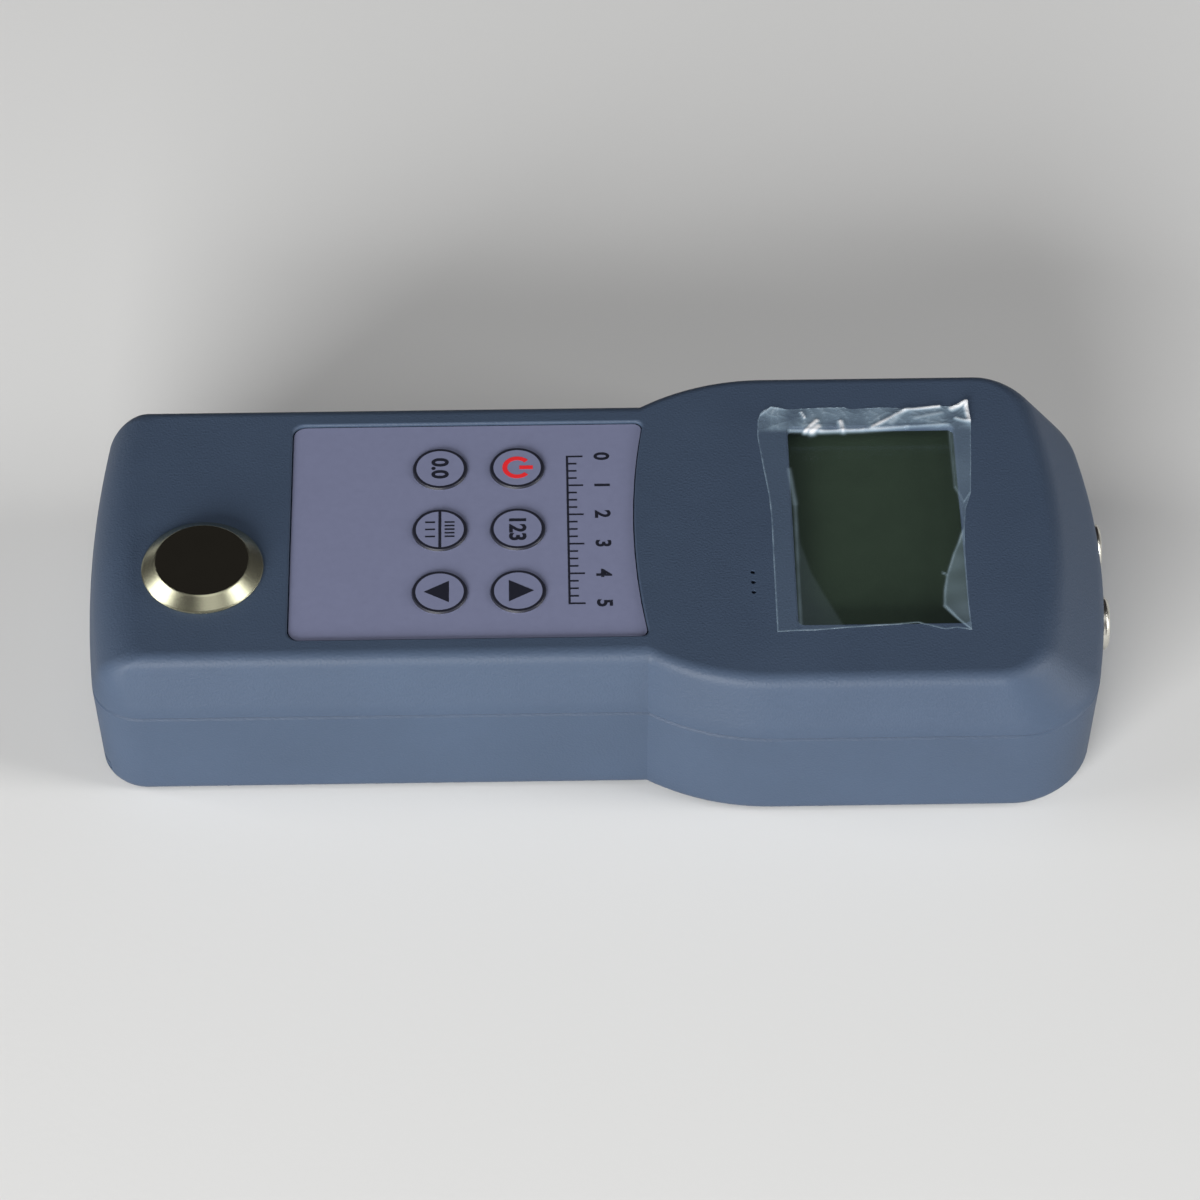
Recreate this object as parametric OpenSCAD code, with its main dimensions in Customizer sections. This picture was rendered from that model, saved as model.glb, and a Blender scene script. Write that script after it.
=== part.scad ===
// Hand-held ultrasonic thickness gauge, lying on its back with the display facing up.
// X runs along the case towards the probe sockets, Z rises out of the display,
// and the origin is in the middle of the flat back.

/* [Case] */
// Length of the case, end to end
case_len = 160; // [156:1:180]
// Width across the display head
head_w = 69; // [66:0.5:78]
// Width across the handle
handle_w = 57.5; // [56:0.5:62]
// Thickness from the back to the front face
case_t = 30; // [29:0.5:34]
// Height of the joint between the two shells
joint_z = 18.5; // [18:0.25:20]
// Wall of the shells
wall = 2.2; // [1.6:0.1:2.6]
// Thickness of the front face
face_t = 2.6; // [2.2:0.1:3]
// How far the long flanks lean in towards the front face
side_draft = 2.4; // [1:0.1:3.5]
// How far the bottom end leans in towards the front face
tail_draft = 2; // [1:0.1:3]
// How far the socket end leans in towards the front face
nose_draft = 8; // [5:0.25:9]
// Rounding between the bottom end and the front face
tail_edge = 5.6; // [4:0.1:6]
// Rounding of the rest of the edge round the front face
face_edge = 1.9; // [0.8:0.1:2.4]
// Rounding of the edge round the back
back_edge = 2.5; // [1.5:0.1:3]
// How far the lower wall leans in towards the back
back_draft = 0.8; // [0.3:0.1:1.5]
// Corner radius at the bottom end
tail_r = 7; // [5:0.5:9]
// Corner radius at the socket end
nose_r = 11; // [9:0.5:13]
// Bow of the bottom end
tail_bow = 2; // [0.5:0.25:3]
// Bow of the socket end
nose_bow = 4.5; // [1:0.25:5.5]
// Where the handle starts to flare, from the bottom end
flare_from_tail = 87.4; // [84:0.2:92]
// Length of the flare
flare_len = 19.6; // [14:0.2:24]

/* [Keypad] */
// Start of the keypad overlay, from the bottom end
label_from_tail = 32.1; // [31.5:0.1:34]
// Length of the overlay
label_len = 55.5; // [50:0.5:58]
// Width of the overlay
label_w = 44.8; // [42:0.2:46]
// Depth of the recess that the overlay lies in
label_recess = 1; // [0.8:0.05:1.2]
// Thickness of the overlay
label_t = 0.5; // [0.3:0.05:0.6]
// How far the overlay's head end curves in
label_bow = 1.9; // [0.5:0.1:3]
// Diameter of a key
key_d = 8.7; // [7:0.1:9.5]
// Height of a key above the overlay
key_rise = 0.35; // [0.31:0.01:0.6]
// Travel of a key
key_travel = 0.3; // [0.2:0.01:0.3]
// Distance between the two columns of keys
key_col = 12.2; // [11:0.1:14]
// Distance between the rows of keys
key_row = 13; // [11:0.1:14]
// First column of keys, from the start of the overlay
key_from_label = 23.3; // [18:0.1:26]

/* [Display] */
// Middle of the window, from the socket end
window_from_nose = 36; // [35:0.25:38]
// Length of the window, along the case
window_len = 26.5; // [22:0.5:27]
// Width of the window, across the case
window_w = 41.6; // [36:0.2:43]
// Thickness of the clear lens
lens_t = 1.4; // [1:0.1:1.6]
// Thickness of the display glass
glass_t = 2.2; // [1.6:0.1:2.6]
// Thickness of the protective film
film_t = 0.2; // [0.1:0.05:0.4]

/* [Calibration disc] */
// Middle of the disc, from the bottom end
disc_from_tail = 18.5; // [18:0.25:20]
// Middle of the disc, off the centre line
disc_off = 7.7; // [0:0.1:9]
// Diameter of the foot of the disc
disc_d = 19; // [16:0.5:20]
// Diameter of the flat top of the disc
disc_top_d = 14.5; // [12:0.5:15]
// Height of the disc above the front face
disc_rise = 2; // [1.5:0.1:3]
// Whole thickness of the disc, the reference thickness
disc_t = 5; // [4.6:0.1:6]
// Diameter of the spigot below the disc
disc_spigot_d = 12; // [8:0.5:13]

/* [Sockets] */
// Distance between the two probe sockets
socket_gap = 15.5; // [13:0.5:20]
// Height of the sockets above the back
socket_z = 14.2; // [13:0.1:14.2]
// Diameter of a socket flange
flange_d = 8.4; // [8:0.1:8.6]
// Diameter of a socket barrel
barrel_d = 7; // [6.4:0.1:7.2]
// Bore that takes the probe plug
socket_bore_d = 5; // [4:0.1:5.4]
// How far a flange stands out of the end of the case
socket_proud = 0.7; // [0.4:0.1:2]

/* [Power] */
// Diameter of a cell
cell_d = 10.5; // [10:0.1:10.6]
// Length of a cell with its nub
cell_len = 44.5; // [43:0.1:45]
// Gap between neighbouring cells
cell_gap = 0.7; // [0.4:0.1:0.9]
// Thickness of the battery cover
cover_t = 2; // [1.6:0.1:2.1]
// Width of the battery cover
cover_w = 46.8; // [46:0.2:47.2]

/* [Board] */
// Thickness of the circuit board
board_t = 1.6; // [1:0.1:1.6]
// Distance from the ceiling of the case down to the board
board_drop = 7.3; // [7:0.1:7.4]

/* [Hidden] */
$fn = 48;

// clearances
fit = 0.3;
snug = 0.05;
cut = 1;

// ends and levels
tail_x = -case_len / 2;
nose_x = case_len / 2;
ceiling_z = case_t - face_t;
shoulder = 3;
floor_t = wall;
tail_top_r = 1.5;
nose_top_r = 6.5;
least_r = 1;

// points in each stretch of the outline
end_n = 4;
arc_n = 6;

// half outline of one level, from the middle of the bottom end to the middle of the socket end
function arc(cx, cy, r, a0, a1, n) =
    [for (i = [0:n]) let (a = a0 + (a1 - a0) * i / n) [cx + r * cos(a), cy + r * sin(a)]];
function half_outline(side, tail, nose, r0, r1) = let (
    y0 = handle_w / 2 - side,
    y1 = head_w / 2 - side,
    x0 = tail_x + tail + tail_bow,
    x1 = nose_x - nose - nose_bow,
    xa = tail_x + flare_from_tail,
    rise = y1 - y0,
    flare_r = (pow(flare_len, 2) + pow(rise, 2)) / (2 * rise),
    flare_a = asin(flare_len / flare_r),
    tail_pts = concat([for (i = [0:end_n - 1]) [x0, (y0 - r0) * i / end_n]],
        arc(x0 + r0, y0 - r0, r0, 180, 90, arc_n)),
    nose_pts = concat(arc(x1 - r1, y1 - r1, r1, 90, 0, arc_n),
        [for (i = [end_n - 1:-1:0]) [x1, (y1 - r1) * i / end_n]]))
    concat([for (p = tail_pts) [p.x - tail_bow * (1 - pow(p.y / y0, 2)), p.y]],
        arc(xa + flare_len, y1 - flare_r, flare_r, 90 + flare_a, 90, arc_n),
        [for (p = nose_pts) [p.x + nose_bow * (1 - pow(p.y / y1, 2)), p.y]]);
function ring(half) = concat(half, [for (i = [len(half) - 2:-1:1]) [half[i].x, -half[i].y]]);

// a solid through level outlines, each given as [height, half outline]; caps run across the case
module loft(levels) {
    h = len(levels[0][1]);
    n = 2 * h - 2;
    top = (len(levels) - 1) * n;
    points = [for (l = levels) for (p = ring(l[1])) [p.x, p.y, l[0]]];
    sides = [for (k = [0:len(levels) - 2]) for (i = [0:n - 1]) let (j = (i + 1) % n)
        each [[k * n + i, k * n + j, (k + 1) * n + j], [k * n + i, (k + 1) * n + j, (k + 1) * n + i]]];
    ends = [for (i = [0:h - 2]) let (a = (n - i) % n, b = n - i - 1)
        each i == 0 ? [[0, b, 1], [top, top + 1, top + b]]
            : i == h - 2 ? [[a, i + 1, i], [top + i, top + i + 1, top + a]]
            : [[a, b, i + 1, i], [top + i, top + i + 1, top + b, top + a]]];
    polyhedron(points, concat(sides, ends));
}

// leaning of the flanks between the joint and the front face: 0 at the joint, 1 at the face
lean_z = joint_z + shoulder / 2;
function lean(z) = (z - lean_z) / (case_t - lean_z);
function bend(a, c, b, t) = pow(1 - t, 2) * a + 2 * t * (1 - t) * c + pow(t, 2) * b;
// rounding between the bottom end and the front face, as an inset at a height
tail_edge_z = case_t - tail_edge;
function tail_round(z) = let (up = min(max(z - tail_edge_z, 0), tail_edge))
    tail_edge - sqrt(pow(tail_edge, 2) - pow(up, 2));
// one level of the front shell: share of the lean, an even inset, and the rounding of the face's edge
function front_level(z, g, inset, edge) = [z, half_outline(g * side_draft + inset + edge,
    g * tail_draft + inset + tail_round(z), g * nose_draft + inset + edge,
    max(tail_r + g * (tail_top_r - tail_r) - inset, least_r),
    max(nose_r + g * (nose_top_r - nose_r) - inset - edge, least_r))];
shoulder_z = joint_z + shoulder;
edge_z = case_t - face_edge;
// turn of the end's rounding at which the levels between shoulder and edge lie, in degrees
turn_low = 0;
turn_high = 22;
front_levels = concat(
    [for (t = [0, 0.5, 1])
        front_level(bend(joint_z, lean_z, shoulder_z, t), bend(0, 0, lean(shoulder_z), t), 0, 0)],
    [for (a = [turn_low, turn_high]) let (z = tail_edge_z + tail_edge * sin(a))
        front_level(z, lean(z), 0, 0)],
    [for (t = [0, 0.33, 0.67, 1])
        front_level(bend(edge_z, case_t, case_t, t), bend(lean(edge_z), 1, 1, t), 0, face_edge * pow(t, 2))]);
front_inner = [front_level(joint_z - cut, 0, wall, 0), front_level(joint_z, 0, wall, 0),
    front_level(shoulder_z, lean(shoulder_z), wall, 0), front_level(ceiling_z, lean(ceiling_z), wall, 0)];

// one level of the rear shell: share of the lower lean, and an even inset
function rear_level(z, inset) = let (s = back_draft * (joint_z - z) / joint_z + inset)
    [z, half_outline(s, s, s, max(tail_r - s, least_r), max(nose_r - s, least_r))];
rear_levels = concat(
    [for (t = [0, 0.33, 0.67, 1]) rear_level(bend(0, 0, back_edge, t), bend(back_edge, 0, 0, t))],
    [rear_level(joint_z, 0)]);
rear_inner = [rear_level(floor_t, wall), rear_level(joint_z + cut, wall)];

// the stepped lip that lines the two shells up
lip_h = 1.2;
lip_out = wall / 2 + fit / 2;
lip_in = wall - fit;
lip_root = 0.6;
// a closed band between two outlines that have as many points
module band(z0, z1, outer, inner) {
    a = ring(outer);
    b = ring(inner);
    n = len(a);
    points = concat([for (p = a) [p.x, p.y, z0]], [for (p = a) [p.x, p.y, z1]],
        [for (p = b) [p.x, p.y, z0]], [for (p = b) [p.x, p.y, z1]]);
    faces = [for (i = [0:n - 1]) let (j = (i + 1) % n) each [
        [i, j, n + j, n + i], [2 * n + j, 2 * n + i, 3 * n + i, 3 * n + j],
        [j, i, 2 * n + i, 2 * n + j], [n + i, n + j, 3 * n + j, 3 * n + i]]];
    polyhedron(points, faces);
}
function even_outline(inset) = front_level(joint_z, 0, inset, 0)[1];

// rounded rectangle as a polygon, with its middle at the origin
function round_rect(l, w, r) = concat(arc(l / 2 - r, w / 2 - r, r, 90, 0, arc_n),
    arc(l / 2 - r, r - w / 2, r, 0, -90, arc_n), arc(r - l / 2, r - w / 2, r, -90, -180, arc_n),
    arc(r - l / 2, w / 2 - r, r, 180, 90, arc_n));
module plate(l, w, r, t) {
    linear_extrude(t) polygon(round_rect(l, w, r));
}

// keypad
label_x = tail_x + label_from_tail + label_len / 2;
label_r = 2;
label_head_r = 1.2;
label_floor_z = case_t - label_recess;
label_top_z = label_floor_z + label_t;
label_gap = 0.2;
bow_n = 8;
key_hole_d = key_d + fit;
key_well_d = key_hole_d + fit;
key_x = tail_x + label_from_tail + key_from_label;
key_edge = 0.3;
module label_outline(gap) {
    l = label_len / 2 + gap;
    w = label_w / 2 + gap;
    v = w - label_head_r;
    corner_x = l - label_bow * (1 - pow(v / w, 2)) - label_head_r;
    head_end = [for (i = [1:bow_n - 1]) let (y = v * (1 - 2 * i / bow_n))
        [l - label_bow * (1 - pow(y / w, 2)), y]];
    polygon(concat(arc(corner_x, v, label_head_r, 90, 0, arc_n), head_end,
        arc(corner_x, -v, label_head_r, 0, -90, arc_n),
        arc(label_r - l, label_r - w, label_r, -90, -180, arc_n),
        arc(label_r - l, w - label_r, label_r, 180, 90, arc_n)));
}
function key_at(col, row) = [key_x + col * key_col, row * key_row];
key_spots = [for (col = [0, 1]) for (row = [-1, 0, 1]) key_at(col, row)];

// window and display
window_x = nose_x - window_from_nose;
window_r = 1;
lens_rim = 2;
lens_l = window_len + 2 * lens_rim;
lens_w = window_w + 2 * lens_rim;
lens_z = ceiling_z;
glass_rim_l = 2;
glass_rim_w = 2.5;
glass_l = window_len + 2 * glass_rim_l;
glass_w = window_w + 2 * glass_rim_w;
glass_top_z = ceiling_z - fit;
glass_z = glass_top_z - glass_t;
frame_wall = 1.6;
frame_l = glass_l + 2 * snug + 2 * frame_wall;
frame_w = glass_w + 2 * snug + 2 * frame_wall;
frame_top_z = glass_top_z - fit;
strip_t = 2;
strip_in = 2;
strip_w = glass_w - 2 * strip_in;
strip_x = glass_l / 2 - strip_t;
frame_hollow_l = 2 * strip_x - strip_t - 2 * frame_wall;
frame_hollow_w = glass_w - 2 * strip_in;

// calibration disc
disc_x = tail_x + disc_from_tail;
disc_y = -disc_off;
disc_foot = 0.4;

// circuit board and what stands on it
board_z = ceiling_z - board_drop - board_t;
board_top_z = board_z + board_t;
board_from_tail = 30;
board_gap = 1.6;
board_x0 = tail_x + board_from_tail;
board_edge = wall + board_gap;
board_handle_w = handle_w - 2 * (side_draft + board_edge);
board_head_w = head_w - 2 * (side_draft + board_edge);
board_step_x = tail_x + flare_from_tail + flare_len / 2;
switch_w = 6;
switch_h = 3.5;
switch_floor = 0.6;
plunger_d = 3.4;
switch_room = 0.2;
plunger_in = switch_h - switch_floor - key_travel - switch_room;
buzzer_d = 9.6;
buzzer_h = 5.8;
buzzer_gap = 1;
buzzer_x = window_x - frame_l / 2 - buzzer_d / 2 - buzzer_gap;
buzzer_y = -12;
buzzer_hole_d = 2;
buzzer_hole = 1;
sound_d = 0.8;
sound_gap = 2.05;
sound_off = 2.8;
sound_x = buzzer_x + sound_off;

// screws that hold the shells together, driven from the back
screw_d = 2.6;
screw_head_d = 5.2;
screw_head_t = 2;
screw_seat_z = 9;
screw_bite = 5.5;
screw_point = 1;
boss_d = 7.4;
tail_screw_in = 10.7;
tail_screw_x = tail_x + tail_screw_in;
tail_screw_y = 13.5;
nose_screw_in = 14;
nose_screw_side = 10.5;
nose_screw_x = nose_x - nose_screw_in;
nose_screw_y = head_w / 2 - nose_screw_side;
rear_screws = [[tail_screw_x, tail_screw_y], [tail_screw_x, -tail_screw_y],
    [nose_screw_x, nose_screw_y], [nose_screw_x, -nose_screw_y]];
board_x1 = nose_screw_x - boss_d / 2 - 2 * fit;
// screws that hold the board to the front shell
small_d = 2;
small_head_d = 3.8;
small_head_t = 1.4;
small_bite = 5;
small_boss_d = 5.4;
small_in = 5;
small_side = 3;
small_tail_x = board_x0 + small_in;
small_tail_y = board_handle_w / 2 - small_in;
small_nose_x = buzzer_x - small_in;
small_nose_y = board_handle_w / 2 - small_side;
board_holds = [[small_tail_x, small_tail_y], [small_tail_x, -small_tail_y],
    [small_nose_x, small_nose_y], [small_nose_x, -small_nose_y]];

// battery bay
cover_z = 0.2;
cover_top_z = cover_z + cover_t;
rail_z = floor_t + fit;
rail_t = 1.2;
rail_out = 1.4;
rail_in = 1;
cell_pitch = cell_d + cell_gap;
cell_r = cell_d / 2;
cell_z = max(cover_top_z, rail_z) + fit + cell_r;
cell_nub_d = 3.8;
cell_nub = 1.2;
spring_len = 5.5;
spring_r = 3.2;
spring_wire_d = 0.8;
spring_turns = 3;
spring_sides = 6;
spring_steps = 10;
plate_t = 0.4;
plate_w = 8;
bay_wall = 1.5;
bay_gap = 1;
bay_len = cell_len + spring_len + 2 * plate_t + 2 * snug;
bay_x0 = tail_screw_x + boss_d / 2 + bay_wall + bay_gap;
bay_x1 = bay_x0 + bay_len;
bay_top_z = cell_z + cell_r + fit;
bay_half = handle_w / 2 - back_draft - wall / 2;
cover_lap = 2;
cover_x1 = bay_x1 + bay_wall + cover_lap;
rib_t = 1;
rib_h = 2;
tab_w = 3;
tab_h = 1;
tab_z = bay_top_z + bay_wall + tab_h;
lead_d = 1.2;
function cell_y(i) = (i - 1.5) * cell_pitch;
// cells alternate, so that a spring meets every flat end
function cell_turn(i) = i % 2 == 0 ? 1 : -1;

// probe sockets
socket_half = socket_gap / 2;
flange_x1 = nose_x + socket_proud;
flange_t = 2.2;
seat_x = flange_x1 - flange_t;
pad_w = 11.5;
pad_t = 1.4;
pad_x = seat_x - wall - pad_t;
nut_t = 2;
nut_flats = 9;
barrel_in = 10;
barrel_x0 = pad_x - barrel_in;
bore_len = 7;
insulator_x1 = flange_x1 - bore_len;
pin_d = 1;
pin_deep = 0.2;
insulator_step = 0.4;
insulator_d = socket_bore_d + 2 * insulator_step;
pin_tail = 2;
pin_x1 = insulator_x1 - pin_deep;
pin_x0 = barrel_x0 - pin_tail;
chamfer = 0.5;

// finishes
blue_grey = [0.36, 0.41, 0.48];
label_grey = [0.5, 0.5, 0.58];
nickel = [0.78, 0.77, 0.73];
steel = [0.6, 0.6, 0.58];
tin = [0.72, 0.72, 0.7];
black = [0.08, 0.08, 0.09];

module lying(x0, x1, d) {
    translate([x0, 0, 0]) rotate([0, 90, 0]) cylinder(d = d, h = x1 - x0);
}
module sockets() {
    for (side = [-1, 1]) translate([0, side * socket_half, socket_z]) children();
}

module front_bosses() {
    for (p = rear_screws) translate([p.x, p.y, joint_z])
        cylinder(d = boss_d, h = ceiling_z - joint_z + snug);
    for (p = board_holds) translate([p.x, p.y, board_top_z])
        cylinder(d = small_boss_d, h = ceiling_z - board_top_z + snug);
}
module front_holes() {
    for (p = rear_screws) translate([p.x, p.y, joint_z - cut])
        cylinder(d = screw_d + snug, h = screw_bite + screw_point + 2 * cut);
    for (p = board_holds) translate([p.x, p.y, board_top_z - cut])
        cylinder(d = small_d + snug, h = small_bite + 2 * cut);
    for (p = key_spots) translate([p.x, p.y, ceiling_z - cut])
        cylinder(d = key_well_d, h = face_t + 2 * cut);
    for (i = [-1:1]) translate([sound_x, buzzer_y + i * sound_gap, ceiling_z - cut])
        cylinder(d = sound_d, h = face_t + 2 * cut);
    translate([disc_x, disc_y, ceiling_z - cut])
        cylinder(d = disc_spigot_d + 2 * snug, h = face_t + 2 * cut);
}
module front_case() {
    color(blue_grey) difference() {
        union() {
            difference() {
                loft(front_levels);
                loft(front_inner);
            }
            front_bosses();
        }
        front_holes();
        // step that takes the lip of the rear shell
        band(joint_z - cut, joint_z + lip_h + fit, even_outline(lip_out - fit / 2), even_outline(wall + fit));
        translate([label_x, 0, label_floor_z]) linear_extrude(label_recess + cut)
            label_outline(label_gap);
        translate([window_x, 0, ceiling_z - cut])
            plate(window_len, window_w, window_r, face_t + 2 * cut);
        translate([window_x, 0, ceiling_z - cut])
            plate(lens_l + 2 * snug, lens_w + 2 * snug, window_r, lens_t + cut);
    }
}

// the way the battery cover takes as it slides off, with room all round
module cover_path(gap) {
    translate([tail_x - cut, -cover_w / 2 - gap, -cut])
        cube([cover_x1 - tail_x + gap + cut, cover_w + 2 * gap, cover_top_z + gap + cut]);
    for (side = [-1, 1]) translate([0, side * (cover_w / 2 + (rail_out - rail_in) / 2), 0])
        translate([tail_x - cut, -(rail_out + rail_in) / 2 - gap, rail_z - gap])
            cube([cover_x1 - tail_x + gap + cut, rail_out + rail_in + 2 * gap, rail_t + 2 * gap]);
}
module bay() {
    translate([bay_x0 - bay_wall, -bay_half, bay_top_z])
        cube([bay_len + 2 * bay_wall, 2 * bay_half, bay_wall]);
    for (x = [bay_x0 - bay_wall, bay_x1]) translate([x, -bay_half, floor_t])
        cube([bay_wall, 2 * bay_half, bay_top_z - floor_t + snug]);
    for (i = [0:2])
        translate([bay_x0 + spring_len, cell_y(i) + cell_pitch / 2 - rib_t / 2, bay_top_z - rib_h])
            cube([bay_len - 2 * spring_len, rib_t, rib_h + snug]);
    // ledge that closes the case above the head end of the cover
    translate([bay_x1, -bay_half, floor_t / 2])
        cube([cover_x1 + fit + wall - bay_x1, 2 * bay_half, cover_top_z + fit + wall - floor_t / 2]);
}
module rear_bosses() {
    for (p = rear_screws) translate([p.x, p.y, floor_t / 2])
        cylinder(d = boss_d, h = joint_z - floor_t / 2);
    // webs that carry the two bosses above the battery cover
    for (side = [-1, 1]) translate([tail_x + wall / 2 + back_draft, side * tail_screw_y - wall / 2, floor_t])
        cube([bay_x0 - tail_x - wall / 2 - back_draft - bay_wall / 2, wall, bay_top_z - floor_t]);
    // flat pads for the socket nuts, cut off level with the joint
    sockets() translate([pad_x, -pad_w / 2, -pad_w / 2])
        cube([seat_x - pad_x - snug, pad_w, pad_w / 2 + joint_z - socket_z]);
}
module rear_case() {
    color(blue_grey * 0.92) difference() {
        union() {
            difference() {
                loft(rear_levels);
                loft(rear_inner);
            }
            band(joint_z - lip_root, joint_z + lip_h, even_outline(lip_out), even_outline(lip_in));
            bay();
            rear_bosses();
        }
        cover_path(fit);
        for (p = rear_screws) translate([p.x, p.y, -cut]) {
            cylinder(d = screw_head_d + 2 * fit, h = screw_seat_z + cut);
            cylinder(d = screw_d + 2 * fit, h = joint_z + 2 * cut);
        }
        sockets() {
            lying(pad_x - cut, nose_x, barrel_d + 2 * snug);
            lying(seat_x, nose_x + cut, flange_d + fit);
        }
        // slots for the two tabs that take the current up to the board
        for (i = [0, 3]) translate([bay_x1 - plate_t - fit, cell_y(i) - tab_w / 2 - fit, bay_top_z - cut])
            cube([plate_t + fit, tab_w + 2 * fit, bay_wall + 2 * cut]);
    }
}
grip_n = 5;
grip_pitch = 2.4;
grip_l = 18;
grip_w = 1.2;
grip_deep = 0.6;
grip_from_tail = 16;
grip_x = tail_x + grip_from_tail;
module battery_cover() {
    color(blue_grey * 0.92) difference() {
        intersection() {
            loft(rear_levels);
            union() {
                translate([tail_x, -cover_w / 2, cover_z])
                    cube([cover_x1 - tail_x, cover_w, cover_t]);
                for (side = [-1, 1]) {
                    translate([tail_x, side * (cover_w / 2 - rail_in / 2) - rail_in / 2, cover_top_z - snug])
                        cube([cover_x1 - tail_x, rail_in, rail_z + rail_t - cover_top_z + snug]);
                    translate([tail_x, side * (cover_w / 2 + rail_out / 2 - snug) - rail_out / 2, rail_z])
                        cube([cover_x1 - tail_x, rail_out, rail_t]);
                }
            }
        }
        // finger grooves
        for (i = [0:grip_n - 1]) translate([grip_x + i * grip_pitch, -grip_l / 2, cover_z - cut])
            cube([grip_w, grip_l, grip_deep + cut]);
    }
}

module keypad_overlay() {
    color(label_grey) difference() {
        translate([label_x, 0, label_floor_z]) linear_extrude(label_t) label_outline(0);
        for (p = key_spots) translate([p.x, p.y, label_floor_z - cut])
            cylinder(d = key_hole_d, h = label_t + 2 * cut);
    }
}
module key_pad(col, row) {
    p = key_at(col, row);
    top = label_t + key_rise;
    translate([p.x, p.y, label_floor_z]) rotate_extrude() polygon([[0, 0], [key_d / 2, 0],
        [key_d / 2, top - key_edge], [key_d / 2 - key_edge, top], [0, top]]);
}
module key_power() { color(label_grey) key_pad(1, 1); }
module key_code() { color(label_grey) key_pad(1, 0); }
module key_up() { color(label_grey) key_pad(1, -1); }
module key_zero() { color(label_grey) key_pad(0, 1); }
module key_units() { color(label_grey) key_pad(0, 0); }
module key_down() { color(label_grey) key_pad(0, -1); }
module plunger(col, row) {
    p = key_at(col, row);
    z0 = board_top_z + switch_h - plunger_in;
    translate([p.x, p.y, z0]) cylinder(d = plunger_d, h = label_floor_z - z0);
}
module plunger_power() { color(black) plunger(1, 1); }
module plunger_code() { color(black) plunger(1, 0); }
module plunger_up() { color(black) plunger(1, -1); }
module plunger_zero() { color(black) plunger(0, 1); }
module plunger_units() { color(black) plunger(0, 0); }
module plunger_down() { color(black) plunger(0, -1); }
module switch_housings() {
    color(black * 2) for (p = key_spots) translate([p.x, p.y, board_top_z]) difference() {
        translate([-switch_w / 2, -switch_w / 2, 0]) cube([switch_w, switch_w, switch_h]);
        translate([0, 0, switch_floor]) cylinder(d = plunger_d + fit, h = switch_h);
    }
}

module display_window() {
    color([0.75, 0.8, 0.8, 0.4]) translate([window_x, 0, lens_z]) plate(lens_l, lens_w, window_r, lens_t);
}
// corners of the protective film, from the middle of the window
film_pts = [[-17.8, 24.4], [16.3, 26.3], [13.3, -22.7], [-16.5, -22.6]];
module window_film() {
    color([0.85, 0.88, 0.9, 0.3]) translate([window_x, 0, case_t]) linear_extrude(film_t) polygon(film_pts);
}
module lcd_panel() {
    color([0.2, 0.24, 0.2]) translate([window_x, 0, glass_z]) plate(glass_l, glass_w, window_r, glass_t);
}
module lcd_frame() {
    color([0.85, 0.85, 0.82]) translate([window_x, 0, board_top_z]) difference() {
        plate(frame_l, frame_w, window_r, frame_top_z - board_top_z);
        translate([0, 0, glass_z - board_top_z])
            plate(glass_l + 2 * snug, glass_w + 2 * snug, window_r, glass_t + cut);
        translate([0, 0, -cut]) plate(frame_hollow_l, frame_hollow_w, window_r, glass_z);
        for (side = [-1, 1]) translate([side * strip_x - strip_t / 2 - snug, -strip_w / 2 - snug, -cut])
            cube([strip_t + 2 * snug, strip_w + 2 * snug, glass_z]);
    }
}
module contact_strips() {
    color([0.8, 0.45, 0.5]) for (side = [-1, 1])
        translate([window_x + side * strip_x - strip_t / 2, -strip_w / 2, board_top_z])
            cube([strip_t, strip_w, glass_z - board_top_z]);
}

module calibration_disc() {
    low = disc_rise - disc_t;
    color(steel) translate([disc_x, disc_y, case_t]) rotate_extrude() polygon([[0, low],
        [disc_spigot_d / 2, low], [disc_spigot_d / 2, 0], [disc_d / 2, 0], [disc_d / 2, disc_foot],
        [disc_top_d / 2, disc_rise], [0, disc_rise]]);
}

module socket_shell(side) {
    bore = socket_bore_d / 2;
    inner = barrel_x0 - seat_x;
    step = insulator_x1 - seat_x;
    color(nickel) translate([seat_x, side * socket_half, socket_z]) rotate([0, 90, 0])
        rotate_extrude() polygon([[insulator_d / 2, inner], [barrel_d / 2, inner], [barrel_d / 2, 0],
            [flange_d / 2, 0], [flange_d / 2, flange_t - chamfer], [flange_d / 2 - chamfer, flange_t],
            [bore, flange_t], [bore, step], [insulator_d / 2, step]]);
}
module socket_transmit() { socket_shell(1); }
module socket_receive() { socket_shell(-1); }
module socket_insulators() {
    color([0.9, 0.9, 0.86]) sockets() difference() {
        lying(barrel_x0, insulator_x1, insulator_d - 2 * snug);
        lying(barrel_x0 - cut, insulator_x1 + cut, pin_d + 2 * snug);
    }
}
module socket_contacts() {
    color([0.8, 0.66, 0.32]) sockets() lying(pin_x0, pin_x1, pin_d);
}
module socket_nuts() {
    color(nickel) sockets() translate([pad_x - nut_t, 0, 0]) rotate([0, 90, 0]) difference() {
        cylinder(d = nut_flats / cos(30), h = nut_t, $fn = 6);
        translate([0, 0, -cut]) cylinder(d = barrel_d + 2 * snug, h = nut_t + 2 * cut);
    }
}

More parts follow.
